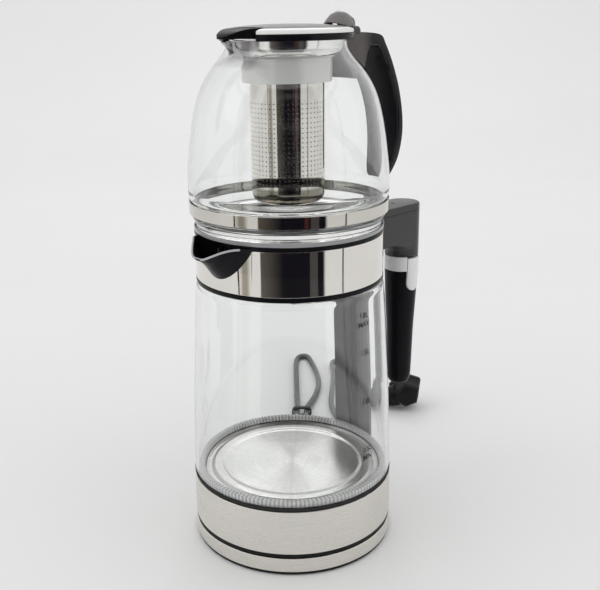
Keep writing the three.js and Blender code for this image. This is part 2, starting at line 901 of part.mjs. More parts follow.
// Kettle glass: a slightly conical wall that turns in to a short neck inside the collar.
function glassProfile() {
  const shoulderTop = collarZ - GAP;
  return [
    [glassFootRadius, glassZ],
    [glassWaistRadius, glassWaistZ],
    [(glassWaistRadius + glassUpperRadius) / 2, (glassWaistZ + glassUpperZ) / 2],
    [glassUpperRadius, glassUpperZ],
    [glassShoulderRadius, glassShoulderZ],
    [glassShoulderRadius - glassWall / 2, shoulderTop - GAP],
    [neckRadius + GAP, shoulderTop],
    [neckRadius, shoulderTop + GAP],
  ];
}

function kettleGlass() {
  const outer = glassProfile();
  const inner = [
    [neckRadius - glassWall + GAP, collarZ],
    [glassShoulderRadius - glassWall, glassShoulderZ - glassWall],
    ...[outer[3], outer[1], outer[0]].map(([r, z]) => [r - glassWall, z]),
  ];
  return turned([...outer, [neckRadius, neckTop], [neckRadius - glassWall, neckTop], ...inner]);
}

// Collar

function collarGasket() {
  return ring(neckRadius + GAP, collarRadius + GAP / 2, collarZ, collarZ + gasketTall);
}

// Half the spout's width, its lip and its keel, at a share of the way from the collar to the tip.
const spoutShares = [
  [-0.25, 1.08, 0, -0.25],
  [0, 1, 0, 0],
  [0.28, 0.78, 0.07, 0.33],
  [0.55, 0.58, 0.3, 0.67],
  [0.8, 0.38, 0.66, 0.88],
  [0.93, 0.24, 0.9, 0.97],
  [1, 0.1, 1, 1],
];
const spoutRoundShares = [-1, -0.8, -0.55, -0.3, -0.1, 0.1, 0.3, 0.55, 0.8, 1];

// The spout's wedge, grown outwards by a margin and topped by a flat at a height above its lip.
function spoutWedge(margin, above) {
  const rootX = -frameWallRadius;
  const tipX = -spoutReach;
  const rings = spoutShares.map(([along, wide, drop, rise]) => {
    const x = rootX + (tipX - rootX) * along - (along > 0.99 ? margin : 0);
    const half = Math.max(spoutHalfRoot * wide + margin, GAP);
    const lip = lipZ - lipDrop * drop;
    const keel = Math.min(keelRootZ + (keelTipZ - keelRootZ) * rise - margin, lip - GAP);
    const under = spoutRoundShares.map((s) => [x, half * s, keel + (lip - keel) * Math.abs(s) ** 1.6]);
    return [...under, [x, half, lip + above], [x, -half, lip + above]];
  });
  return lofted(rings);
}

// Lug behind the collar that the handle is screwed to, with the steam duct through it.
function handleLug(margin) {
  const low = lugZ - margin;
  const half = lugHalf + margin;
  return block([frameWallRadius - collarWall / 2, -half, low], [lugReach + margin, half, lugZ + lugTall + margin]);
}

function steamDuct() {
  return bar("x", ductRadius, collarMouthRadius - OVERRUN, lugReach + OVERRUN, [0, lugZ + lugTall / 2], TINY_ROUND);
}

function collarFrame() {
  const wallInner = neckRadius + 1.5 * GAP;
  const step = neckTop + GAP;
  const profile = [
    [wallInner, frameZ],
    [frameWallRadius, frameZ],
    [frameWallRadius, collarBandTop + GAP],
    [collarRimRadius, collarBandTop + GAP],
    [collarRimRadius, frameTop - collarRimRound],
    [collarRimRadius - collarRimRound, frameTop],
    [collarMouthRadius, frameTop],
    [collarMouthRadius, step],
    [wallInner, step],
  ];
  const keep = ring(wallInner + GAP, spoutReach + OVERRUN, frameZ, lipZ + OVERRUN);
  const beak = spoutWedge(0, 0).intersect(keep);
  const sink = lugZ + screwHeadSink;
  const screwHole = disc(screwShankRadius + GAP, sink, lugZ + lugTall + OVERRUN, TINY_ROUND, lugScrewX, lugScrewY);
  const whole = joined([turned(profile), beak, handleLug(0)]);
  const mouth = spoutWedge(-spoutWall, OVERRUN + collarRimTall);
  return cut(whole, mouth, steamDuct(), screwHole);
}

function collarBand() {
  const band = ring(collarRadius - bandWall, collarRadius, frameZ, collarBandTop);
  return cut(band, spoutWedge(GAP, collarRimTall + OVERRUN), handleLug(GAP));
}

// Upright bars across the spout's root, which hold limescale back.
function spoutFilter() {
  const inner = collarMouthRadius + GAP;
  const outer = inner + filterWall;
  const spread = Math.asin((spoutHalfRoot - spoutWall) / inner);
  const bars = Array.from({ length: filterBars }, (_, i) => {
    const angle = spread * ((2 * i) / (filterBars - 1) - 1);
    const geometry = new THREE.BoxGeometry(filterWall, filterBarWide, frameTop - neckTop);
    geometry.translate(-(inner + filterWall / 2), 0, (frameTop + neckTop) / 2);
    return solid(geometry.rotateZ(angle));
  });
  const middle = (lipZ + neckTop) / 2;
  const rails = [
    ring(inner, outer, lipZ - 2 * filterBarWide, lipZ - GAP),
    ring(inner, outer, middle - filterBarWide / 2, middle + filterBarWide / 2),
  ];
  const room = spoutWedge(-spoutWall - GAP, GAP).intersect(
    ring(inner, outer, neckTop + GAP, lipZ - GAP)
  );
  return joined([...bars, ...rails]).intersect(room);
}

// Kettle lid, which the teapot stands on

function lidRim() {
  const flangeTop = lidZ + lidFlangeWall;
  const lipTopZ = flangeTop + lidLipTall;
  const plugInner = lidPlugRadius - lidPlugWall;
  const shelfTop = flangeTop - lidShelf - lidDiscWall;
  const outer = collarRadius + GAP / 2;
  const profile = [
    [plugInner, lidZ - lidPlugTall],
    [lidPlugRadius, lidZ - lidPlugTall],
    [lidPlugRadius, lidZ],
    [outer, lidZ],
    [outer, lipTopZ - collarRimRound],
    [outer - collarRimRound, lipTopZ],
    [outer - lidLipWall, lipTopZ],
    [outer - lidLipWall, flangeTop],
    [plugInner, flangeTop],
    [plugInner, shelfTop],
    [plugInner - lidShelf, shelfTop],
    [plugInner - lidShelf, shelfTop - lidFlangeWall],
    [plugInner, shelfTop - lidFlangeWall],
  ];
  return turned(profile);
}

function lidDisc() {
  const low = lidZ + lidFlangeWall - lidShelf - lidDiscWall + GAP;
  const plate = disc(lidPlugRadius - lidPlugWall - GAP, low, low + lidDiscWall, ROUND);
  const vents = around(steamHoles, steamHoleCircle).map(([x, y]) =>
    disc(steamHoleRadius, low - OVERRUN, low + OVERRUN, TINY_ROUND, x, y)
  );
  return cut(plate, ...vents);
}

function lidSeal() {
  const low = lidZ - lidPlugTall + GAP;
  return ring(lidPlugRadius + GAP, collarMouthRadius - GAP, low, low + lidSealTall);
}

// Kettle handle

// The handle's plan: straight sides from the collar and a round outer end.
function handlePlan(margin) {
  const shape = new THREE.Shape();
  const radius = handleRadius + margin;
  shape.moveTo(collarMouthRadius, -radius);
  shape.lineTo(handleX, -radius);
  shape.absarc(handleX, 0, radius, -HALF_TURN / 2, HALF_TURN / 2);
  shape.lineTo(collarMouthRadius, radius);
  return shape;
}

function collarClearance(low, high) {
  return disc(handleRoot, low - OVERRUN, high + OVERRUN, ROUND);
}

// How far the housing's lower part is drawn out towards the collar, at shares of its height.
const rootShares = [
  [0, 0],
  [0.35, 0.06],
  [0.65, 0.25],
  [0.85, 0.55],
  [1, 1],
];

// The housing's lower part: round over the trim, and drawn out as it meets the arm.
function housingRoot() {
  const tall = handleArmZ + GAP - housingBottom;
  const rings = rootShares.map(([up, out]) => {
    const half = Array.from({ length: TINY_ROUND + 1 }, (_, i) => HALF_TURN * (i / TINY_ROUND - 0.5));
    const right = half.map((a) => [handleX + handleRadius * Math.cos(a), handleRadius * Math.sin(a)]);
    const inner = handleX - rootReach * out - GAP * up;
    const left = half.map((a) => [inner - handleRadius * Math.cos(a), -handleRadius * Math.sin(a)]);
    return [...right, ...left].map(([x, y]) => [x, y, housingBottom + tall * up]);
  });
  return lofted(rings);
}

function handleHousing() {
  const arm = raised(handlePlan(0), handleArmZ, housingTop);
  const cavity = raised(handlePlan(-handleWall), handleArmZ + handleWall, housingTop + OVERRUN).subtract(
    block(
      [0, -bodyRadius, handleArmZ],
      [lugReach + GAP, bodyRadius, housingTop + OVERRUN]
    )
  );
  const whole = arm.add(housingRoot());
  return cut(whole, cavity, handleLug(GAP), collarClearance(housingBottom, housingTop), handleScrew(GAP));
}

// Screw that holds the handle's housing to the collar's lug, under the cap.
function handleScrew(margin) {
  const seat = housingTop - screwHeadTall - GAP - margin;
  const headTop = seat + screwHeadTall + 5 * margin;
  const head = disc(screwHeadRadius + margin, seat, headTop, TINY_ROUND, lugScrewX, lugScrewY);
  const low = lugZ + screwHeadSink + GAP - margin;
  const shank = disc(screwShankRadius + margin, low, seat + GAP, TINY_ROUND, lugScrewX, lugScrewY);
  return head.add(shank);
}

function handleCap() {
  const low = housingTop + GAP;
  const bevel = {
    bevelEnabled: true,
    bevelThickness: capBevel,
    bevelSize: capBevel,
    bevelSegments: 3,
    depth: capTop - low - capBevel,
  };
  const dome = raised(handlePlan(-capBevel), low, capTop, bevel);
  const slab = raised(handlePlan(0), low, capTop);
  const lensHole = disc(lensRadius + GAP, low - OVERRUN, capTop + OVERRUN, TINY_ROUND, lensX);
  return cut(slab.intersect(dome), collarClearance(low, capTop), lensHole);
}

function indicatorLens() {
  return disc(lensRadius, housingTop + GAP, capTop, TINY_ROUND, lensX);
}

// Steam-sensing switch in the handle's hollow.
function steamSwitch() {
  const low = handleArmZ + handleWall + GAP;
  const x0 = switchX - switchLength / 2;
  return block([x0, -switchWidth / 2, low], [x0 + switchLength, switchWidth / 2, low + switchTall]);
}

// The tongue's outline on the near side of the handle: straight sides and a round lower end.
function leverPlan(margin, top) {
  const half = leverHalf + margin;
  const shape = new THREE.Shape();
  shape.moveTo(handleX - half, top);
  shape.lineTo(handleX - half, leverBottom + leverHalf);
  shape.absarc(handleX, leverBottom + leverHalf, half, HALF_TURN, FULL_TURN, false);
  shape.lineTo(handleX + half, top);
  return shape;
}

// The part of a shape that lies on the handle's -Y side.
function nearSide(shape, reach) {
  const half = leverHalf + 2 * GAP;
  return shape.intersect(
    block([handleX - half, -reach, gripBottom], [handleX + half, -leverInner / 2, housingTop])
  );
}

function leverRecess() {
  const plan = widened(leverPlan(GAP, housingBottom + GAP), 2 * handleRadius);
  const core = disc(leverInner - leverPlay, gripBottom, housingTop, 2 * TINY_ROUND, handleX);
  return nearSide(plan.subtract(core), 2 * handleRadius);
}

function gripProfile() {
  const round = gripLowRadius;
  return [
    [0, gripBottom],
    [round / 2, gripBottom + round / 12],
    [round * 0.8, gripBottom + round / 4],
    [round * 0.95, gripBottom + round * 0.7],
    [round, gripBottom + 1.4 * round],
    [gripMiddleRadius, gripMiddleZ],
    [(gripMiddleRadius + gripTopRadius) / 2 + GAP / 2, (gripMiddleZ + gripTop) / 2 + GAP],
    [gripTopRadius, gripTop],
  ];
}

function handleGrip() {
  const spigot = handleRadius - trimWall - GAP;
  const profile = [...gripProfile(), [spigot, gripTop], [spigot, trimTop], [0, trimTop]];
  const geometry = turnedGeometry(profile, 2 * TINY_ROUND).translate(handleX, 0, 0);
  return cut(solid(geometry), leverRecess());
}

function leverPin(margin) {
  const half = leverPinHalf + margin;
  const place = [-leverPinOffset, leverPinZ];
  return bar("x", leverPinRadius + margin, handleX - half, handleX + half, place, TINY_ROUND);
}

function handleTrim() {
  const geometry = turnedGeometry(
    [
      [handleRadius - trimWall, trimZ],
      [handleRadius, trimZ],
      [handleRadius, trimTop],
      [handleRadius - trimWall, trimTop],
    ],
    2 * TINY_ROUND
  ).translate(handleX, 0, 0);
  return cut(solid(geometry), leverRecess(), leverPin(GAP));
}

function switchLever() {
  const outer = [
    [gripMiddleRadius + leverProud, gripMiddleZ],
    [(gripMiddleRadius + gripTopRadius) / 2 + leverProud, (gripMiddleZ + gripTop) / 2],
    [handleRadius + leverProud, gripTop],
    [handleRadius + leverProud, leverTop],
    [leverInner, leverTop],
    [leverInner, gripMiddleZ],
  ];
  const shell = solid(turnedGeometry(outer, 2 * ROUND).translate(handleX, 0, 0));
  const tongue = shell.intersect(widened(leverPlan(0, leverTop), 2 * handleRadius));
  return cut(nearSide(tongue, 2 * handleRadius), leverPin(GAP));
}

// Spine behind the glass

function spineSector(margin, halfAngle) {
  const outer = glassProfile().slice(0, 5).map(([r, z]) => [r + margin, z]);
  const top = collarZ - GAP;
  const reach = [
    ...outer,
    [glassShoulderRadius + margin, top],
    [bodyRadius + 4 * spineWall, top],
    [bodyRadius + 4 * spineWall, glassZ],
  ];
  const wedge = outline([
    [0, 0],
    [2 * bodyRadius, -2 * bodyRadius * Math.tan(radians(halfAngle))],
    [2 * bodyRadius, 2 * bodyRadius * Math.tan(radians(halfAngle))],
  ]);
  return turned(reach).intersect(raised(wedge, 0, housingTop));
}

function spineCover() {
  const inside = spineSector(GAP, spineHalfAngle);
  const outside = spineSector(GAP + spineWall, 2 * spineHalfAngle);
  const groove = spineSector(0, 2 * spineHalfAngle)
    .subtract(spineSector(GAP + spineGroove, 3 * spineHalfAngle))
    .intersect(block([0, -spineGrooveHalf, 0], [2 * bodyRadius, spineGrooveHalf, housingTop]));
  return cut(inside, outside, groove);
}

// Flat three-core lead to the switch, in the spine's groove.
function spineLead() {
  const away = spineGroove / 2 + GAP;
  const points = glassProfile()
    .slice(0, 5)
    .map(([r, z]) => new THREE.Vector3(r + away, 0, z));
  points[0].z += GAP;
  points.push(new THREE.Vector3(glassShoulderRadius + away, 0, collarZ - 2 * GAP));
  return joined(
    [-leadOffset, 0, leadOffset].map((y) => {
      const path = new THREE.CatmullRomCurve3(points.map((p) => p.clone().setY(y)));
      return tube(path, leadRadius, points.length + 2, 6);
    })
  );
}

// Teapot glass

function potOuter() {
  const bandSeat = potBandRadius - bandWall - GAP;
  const bandTop = potBandZ + potBandTall;
  return [
    [potFootRadius - potWall, potFootZ],
    [potFootRadius, potFootZ + 1.5 * GAP],
    [potFootRadius, lidZ + lidFlangeWall + lidLipTall + GAP],
    [bandSeat - potWall / 2, potBandZ - 2 * potWall],
    [bandSeat, potBandZ - GAP],
    [bandSeat, bandTop + GAP],
    [potBandRadius, bandTop + potWall],
    [potBellyRadius, potBellyZ],
    [(potBellyRadius + potShoulderRadius) / 2 + potWall / 2, (potBellyZ + potShoulderZ) / 2 + potWall],
    [potShoulderRadius, potShoulderZ],
    [potShoulderRadius - 0.46 * (potShoulderRadius - potCrownRadius), (potShoulderZ + 2 * potCrownZ) / 3 - potWall],
    [potCrownRadius, potCrownZ],
    [potNeckRadius + potWall, potNeckZ - 2 * potWall],
    [potNeckRadius, potNeckZ],
    [potNeckRadius, potTop],
  ];
}

// The teapot's beak, as the kettle's spout: half width, lip and keel along the way out.
const beakShares = [
  [-0.3, 1.1, -0.15],
  [0, 1, 0],
  [0.35, 0.8, 0.2],
  [0.7, 0.55, 0.5],
  [0.9, 0.36, 0.75],
  [1, 0.22, 0.9],
];

function beakWedge(margin, above) {
  const rings = beakShares.map(([along, wide, rise]) => {
    const x = -(potNeckRadius + (beakReach - potNeckRadius) * along) - (along === 1 ? margin : 0);
    const half = Math.max(beakHalfTip, beakHalfRoot * wide) + margin;
    const keel = beakKeelRootZ + (potTop - beakKeelRootZ) * rise - margin;
    const under = spoutRoundShares.map((s) => [x, half * s, keel + (potTop - keel) * Math.abs(s) ** 2]);
    return [...under, [x, half, potTop + above], [x, -half, potTop + above]];
  });
  return lofted(rings);
}

function potGlass() {
  const outer = potOuter();
  const floorZ = potFootZ + 2 * potWall;
  const body = turned([[0, floorZ - potWall / 2], [potFootRadius - 3 * potWall, floorZ - potWall / 2], ...outer, [0, potTop]]);
  const wall = outer.slice(5);
  const offset = inset(wall.slice(0, -1), potWall).filter((_, i) => i !== 1 && i !== 3);
  const innerWall = [...offset, [potNeckRadius - potWall, potTop + OVERRUN]];
  const floorTop = floorZ + potFloor - potWall / 2;
  const hollow = turned([
    [0, floorTop],
    [potFootRadius - 2 * potWall, floorTop],
    [potFootRadius - potWall / 2, floorTop + potWall],
    ...innerWall,
    [0, potTop + OVERRUN],
  ]);
  const keep = ring(potNeckRadius - potWall, bodyRadius, beakKeelRootZ - OVERRUN, potTop);
  const beak = beakWedge(0, 0).intersect(keep);
  return cut(body.add(beak), hollow, beakWedge(-0.8 * potWall, OVERRUN));
}

function footBand() {
  return ring(potBandRadius - bandWall, potBandRadius, potBandZ, potBandZ + potBandTall);
}

// Tongue of the neck ring that the handle's block holds.
function neckTongue(margin) {
  const half = knuckleHalf + margin;
  return block(
    [neckRingRadius - collarRimRound - GAP, -half, neckRingZ - margin],
    [neckRingRadius + knuckleRadius + margin, half, neckRingZ + 2 * neckRingSkirt + margin]
  );
}

// Ring on the teapot's rim, open at the beak.
function neckRing() {
  const low = neckRingZ;
  const top = potLidZ - GAP;
  const profile = [
    [potNeckRadius + GAP, low],
    [neckRingRadius - collarRimRound, low],
    [neckRingRadius, low + collarRimRound],
    [neckRingRadius, top - collarRimRound],
    [neckRingRadius - collarRimRound, top],
    [neckRingMouth, top],
    [neckRingMouth, potTop + GAP],
    [potNeckRadius + GAP, potTop + GAP],
  ];
  const gap = block([-bodyRadius, -neckRingGapHalf, low - OVERRUN], [0, neckRingGapHalf, top + OVERRUN]);
  return cut(turned(profile).add(neckTongue(0)), gap);
}

// Teapot lid

function lidShell() {
  const crown = lidTop - potLidZ - lidEdge;
  const dome = Array.from({ length: 7 }, (_, i) => {
    const share = i / 6;
    return [lidRadius * (1 - share ** 2), potLidZ + lidEdge + crown * Math.sqrt(1 - (1 - share ** 2) ** 2)];
  });
  return turned([[0, potLidZ], [lidRadius, potLidZ], ...dome]);
}

function hingeBore(margin) {
  return bar("y", hingePinRadius + margin, -bodyRadius, bodyRadius, [hingeX, hingeZ]);
}

// The lid's arm and knuckle, grown by a margin.
function lidArm(margin) {
  const half = knuckleHalf + margin;
  const arm = block([lidRadius - 4 * lidEdge, -half, potLidZ - margin], [hingeX, half, potLidZ + armTall + margin]);
  return arm.add(bar("y", knuckleRadius + margin, -half, half, [hingeX, hingeZ]));
}

function flapPin(margin) {
  const half = flapHalf + flapPinReach + margin;
  return bar("y", flapPinRadius + margin, -half, half, [-flapPivotX, flapPivotZ], TINY_ROUND);
}

function potLid() {
  const half = flapHalf + GAP;
  const behind = flapPivotX - flapBarrelRadius - GAP;
  const notch = block([-bodyRadius, -half, potLidZ - OVERRUN], [-behind, half, lidTop + OVERRUN]);
  return cut(lidShell().subtract(notch).add(lidArm(0)), hingeBore(GAP), flapPin(GAP));
}

// Side outline of the thumb tab, which rises behind the hinge and leans over the lid.
const tabShares = [
  [1.05, 0],
  [1.05, 0.1],
  [1, 0.49],
  [0.85, 0.74],
  [0.5, 0.92],
  [-0.1, 1],
  [-0.6, 0.8],
  [-1, 0.46],
  [-0.7, 0.42],
  [-0.36, 0.66],
  [0, 0.76],
  [0.33, 0.66],
  [0.52, 0.42],
  [0.52, 0],
];

function thumbTab() {
  const shape = outline(tabShares.map(([u, v]) => [tabX + tabReach * u, hingeZ + tabRise * v]));
  const behind = tabX + tabReach / 3;
  const room = block([behind, -bodyRadius, 0], [bodyRadius, bodyRadius, hingeZ + 0.68 * tabRise]);
  const plan = outline(around(ROUND, 1).map(([u, v]) => [tabX + tabPlanReach * u, tabHalf * v]));
  const pad = widened(shape, tabHalf).subtract(room).intersect(raised(plan, 0, lidTop + tabRise));
  return widened(shape, knuckleHalf).add(pad).subtract(lidArm(GAP));
}

function lidLiner() {
  return disc(linerRadius, potLidZ - GAP - linerTall, potLidZ - GAP, INFUSER_ROUND);
}

function hingePin() {
  return bar("y", hingePinRadius, -potHandleHalf, potHandleHalf, [hingeX, hingeZ]);
}

// Plan of the nose over the teapot's beak, pointing along -X.
function flapPlan(margin) {
  const shape = new THREE.Shape();
  const half = flapHalf - margin;
  const tip = flapTipHalf - margin;
  shape.moveTo(-flapPivotX + bodyRadius, half);
  shape.lineTo(-flapPivotX - flapBarrelRadius, half);
  shape.absarc(-flapTip + flapTipHalf, 0, tip, 0.62 * HALF_TURN, 1.38 * HALF_TURN, false);
  shape.lineTo(-flapPivotX - flapBarrelRadius, -half);
  shape.lineTo(-flapPivotX + bodyRadius, -half);
  return shape;
}

// Nose over the teapot's beak. It is hinged in the lid and swings up when tea is poured.
function spoutFlap() {
  const low = potTop + 2 * GAP + funnelWall;
  const step = linerRadius + 2 * GAP;
  const top = flapPivotZ + flapBarrelRadius;
  const side = (drop, under) =>
    outline([
      [-flapPivotX, flapPivotZ - flapBarrelRadius],
      [-flapPivotX, top - drop],
      [-(flapPivotX + 0.45 * (flapTip - flapPivotX)), top - drop - flapWall / 6],
      [-(flapPivotX + 0.75 * (flapTip - flapPivotX)), top - drop - flapWall],
      [-flapTip, low + flapWall + flapFront - drop],
      [-flapTip, low - under],
      [-step, low - under],
      [-step, flapPivotZ - flapBarrelRadius],
    ]);
  const body = widened(side(0, 0), flapHalf).intersect(raised(flapPlan(0), low, top + OVERRUN));
  const room = widened(side(flapWall, OVERRUN), flapHalf).intersect(
    raised(flapPlan(flapWall), low - OVERRUN, top)
  );
  const keep = block([-flapTip, -flapHalf, 0], [-step - flapWall, flapHalf, top]);
  const barrel = bar("y", flapBarrelRadius, -flapHalf, flapHalf, [-flapPivotX, flapPivotZ]);
  return joined([body.subtract(room.intersect(keep)), barrel, flapPin(0)]);
}

// Teapot handle

// The handle from the side, as shares of its reach from the neck and of its height from the tip.
const potHandleOuterShares = [
  [0.04, 0.99],
  [0.16, 0.99],
  [0.6, 0.968],
  [0.645, 0.935],
  [0.675, 0.898],
  [0.763, 0.815],
  [0.837, 0.731],
  [0.911, 0.63],
  [0.97, 0.491],
  [1, 0.352],
  [1, 0.25],
  [0.956, 0.139],
  [0.896, 0.065],
  [0.85, 0],
];
const potHandleInnerShares = [
  [0.835, 0.01],
  [0.852, 0.074],
  [0.911, 0.194],
  [0.941, 0.324],
  [0.926, 0.463],
  [0.852, 0.602],
  [0.778, 0.713],
  [0.689, 0.824],
  [0.586, 0.907],
  [0.512, 0.917],
  [0.438, 0.907],
  [0.393, 0.87],
  [0.364, 0.815],
  [0.349, 0.778],
  [0.26, 0.704],
  [0.05, 0.74],
  [-0.1, 0.9],
];
const potHandleFrontShares = [
  [1, 1.1],
  [1, 0.55],
  [0.96, 0.35],
  [0.82, 0.15],
  [0.6, 0.03],
  [0.4, -0.02],
];

function onPotHandle([u, v]) {
  return [
    potNeckRadius + (potHandleReach - potNeckRadius) * u,
    potHandleTipZ + (potHandleTop - potHandleTipZ) * v,
  ];
}

// The strap narrows towards its free lower end.
function potHandleFront(margin) {
  const right = potHandleFrontShares.map(([u, v]) => [(potHandleHalf - margin) * u, onPotHandle([0, v])[1]]);
  const left = right.map(([y, z]) => [-y, z]).reverse();
  return lengthened(outline([...right, ...left]), 0, potHandleReach + OVERRUN);
}

// The strip along the handle's inner side, to a depth, with an overrun into the open.
function gripStrip(depth, over, margin) {
  const run = potHandleInnerShares.slice(1, 9).map(onPotHandle);
  const fine = smoothRun(run, 16);
  const strip = outline([...inset(fine, over), ...inset(fine, -depth).reverse()]);
  return widened(strip, potHandleHalf).intersect(potHandleFront(linerMargin + margin));
}

function potClearance() {
  const outer = potOuter().map(([r, z]) => [r + GAP, z]);
  return turned([[0, potFootZ], ...outer, [potNeckRadius + GAP, hingeZ], [0, hingeZ]]);
}

function potHandle() {
  const shape = outline([...potHandleOuterShares, ...potHandleInnerShares].map(onPotHandle));
  const body = widened(shape, potHandleHalf).intersect(potHandleFront(0));
  const ears = bar("y", earRadius, -potHandleHalf, potHandleHalf, [hingeX, hingeZ]);
  const half = knuckleHalf + GAP;
  const swing = block(
    [hingeX - knuckleRadius - GAP, -half, hingeZ - 2 * knuckleRadius],
    [hingeX + 3.4 * knuckleRadius, half, lidTop]
  );
  const over = block([0, -half, potLidZ - GAP], [hingeX, half, lidTop]);
  const ringRoom = disc(neckRingRadius + GAP, neckRingZ - GAP, lidTop, ROUND);
  const whole = body.add(ears);
  return cut(whole, potClearance(), ringRoom, neckTongue(GAP), over, swing, gripStrip(linerDepth, OVERRUN, 0), hingeBore(GAP));
}

function potHandleLiner() {
  return gripStrip(linerDepth - GAP, 0, GAP);
}

// Infuser

function infuserFunnel() {
  const low = potTop + GAP;
  const run = [
    [funnelFlangeRadius, low],
    [funnelTopRadius + funnelWall, low],
    [funnelTopRadius, low - funnelWall],
    [funnelTopRadius, funnelNeckZ + 0.5 * (low - funnelNeckZ)],
    [(funnelTopRadius + funnelRadius) / 2 + funnelWall, funnelNeckZ + 2 * funnelWall],
    [funnelRadius + funnelWall, funnelNeckZ],
    [funnelRadius, funnelNeckZ - 2 * funnelWall],
    [funnelRadius, funnelBottomZ + funnelWall],
    [funnelRadius - funnelWall, funnelBottomZ],
    [basketRadius + 2 * GAP, funnelBottomZ],
  ];
  return turned([...run, ...inset(run, -funnelWall).reverse()], INFUSER_ROUND);
}

function infuserBasket() {
  const rimZ = funnelBottomZ + funnelWall + GAP;
  const corner = basketRadius - 0.28 * basketRadius;
  const run = [
    [0, basketBottomZ],
    [corner, basketBottomZ],
    [basketRadius - 0.08 * basketRadius, basketBottomZ + 0.07 * basketRadius],
    [basketRadius, basketBottomZ + 0.26 * basketRadius],
    [basketRadius, rimZ],
    [basketRimRadius, rimZ],
  ];
  const inner = inset(run, basketWall).reverse();
  inner.at(-1)[0] = 0;
  return turned([...run, ...inner], INFUSER_ROUND);
}

// Cord and plug

function strainRelief() {
  const out = bodyRadius + GAP;
  const inside = bodyRadius - bandWall - trayWall - 2 * GAP;
  const profile = [
    [0, inside - reliefFlangeWall / 2],
    [reliefNeck, inside - reliefFlangeWall / 2],
    [reliefNeck, out],
    [reliefRoot, out],
    [reliefRoot, out + reliefLength / 5],
    [reliefTip, out + reliefLength],
    [0, out + reliefLength],
  ];
  const body = turnedGeometry(profile, 12).rotateY(HALF_TURN / 2).translate(0, 0, exitZ);
  const flange = new THREE.BoxGeometry(reliefFlangeWall, reliefFlangeWide, reliefFlangeTall);
  flange.translate(inside - reliefFlangeWall / 2 - GAP, 0, exitZ);
  return solid(body.rotateZ(reliefTurn)).add(solid(flange.rotateZ(reliefTurn)));
}

// A place on the table, from X and Y off the strain relief's tip.
function fromRelief([x, y, z]) {
  return new THREE.Vector3(reliefEnd * Math.cos(reliefTurn) + x, reliefEnd * Math.sin(reliefTurn) + y, z);
}

function cordPath() {
  const tail = fromRelief(plugTail);
  const along = fromRelief(plugHeart).sub(tail).normalize();
  const end = tail.clone().addScaledVector(along, -GAP);
  const before = tail.clone().addScaledVector(along, -2 * cordRadius);
  const points = [fromRelief([0, 0, exitZ]), ...cordRoute.map(fromRelief), before, end];
  return new THREE.CatmullRomCurve3(points, false, "centripetal");
}

function powerCord() {
  const path = cordPath();
  const cord = tube(path, cordRadius, cordSteps, cordSides);
  console.log(`least gap of the cord to itself: ${leastGap(path).toFixed(2)} mm`);
  return cord;
}

// Least distance between two runs of the cord that aren't neighbours, less its diameter.
function leastGap(path) {
  const count = 4 * cordSteps;
  const points = path.getSpacedPoints(count);
  const apart = Math.ceil((8 * cordRadius * count) / path.getLength());
  let least = Infinity;
  for (let i = 0; i < count; i += 1) {
    for (let j = i + apart; j <= count; j += 1) {
      least = Math.min(least, points[i].distanceTo(points[j]) - 2 * cordRadius);
    }
  }
  return least;
}

// Band round the two runs of the cord behind the base.
function cordTie() {
  const inner = cordRadius + GAP;
  const flat = tieHalf - cordRadius;
  const loop = (radius) => {
    const shape = new THREE.Shape();
    shape.absarc(flat, 0, radius, -HALF_TURN / 2, HALF_TURN / 2);
    shape.absarc(-flat, 0, radius, HALF_TURN / 2, 1.5 * HALF_TURN);
    return shape;
  };
  const shape = loop(inner + tieWall);
  shape.holes.push(new THREE.Path(loop(inner).getPoints(6)));
  const settings = { depth: tieWide, bevelEnabled: false, curveSegments: 6 };
  const geometry = new THREE.ExtrudeGeometry(shape, settings).translate(0, 0, -tieWide / 2);
  geometry.rotateX(HALF_TURN / 2).rotateZ(reliefTurn - HALF_TURN / 2);
  return solid(geometry.translate(...fromRelief(tieAt)));
}

// Puts a shape that was made along +Z on the plug's axis, which points away from the kettle.
function onPlugAxis(geometry) {
  return geometry.rotateY(HALF_TURN / 2).rotateZ(reliefTurn).translate(...fromRelief(plugHeart));
}

// Boot from the plug's side down to the cord.
function plugBoot() {
  const tail = fromRelief(plugTail);
  const way = fromRelief(plugHeart).sub(tail);
  const turn = new THREE.Quaternion().setFromUnitVectors(new THREE.Vector3(0, 0, 1), way.clone().normalize());
  const profile = [
    [0, 0],
    [plugTailRadius, 0],
    [(plugTailRadius + plugBootRadius) / 2, way.length() / 3],
    [plugBootRadius, way.length() * 0.7],
    [0, way.length() * 0.7],
  ];
  return turnedGeometry(profile, plugSides).applyQuaternion(turn).translate(tail.x, tail.y, tail.z);
}

function plugBody() {
  const half = plugDepth / 2;
  const profile = [
    [0, -half],
    [plugBackRadius * 0.85, -half],
    [plugBackRadius, -half * 0.8],
    [plugFaceRadius * 0.97, half * 0.4],
    [plugFaceRadius, half * 0.6],
    [plugFaceRadius, half],
    [0, half],
  ];
  return solid(onPlugAxis(turnedGeometry(profile, plugSides))).add(solid(plugBoot()));
}

function plugPin(y) {
  const geometry = new THREE.CylinderGeometry(plugPinRadius, plugPinRadius, plugPinLength, TINY_ROUND);
  geometry.rotateX(HALF_TURN / 2).translate(0, y, plugDepth / 2 + GAP + plugPinLength / 2);
  return solid(onPlugAxis(geometry));
}

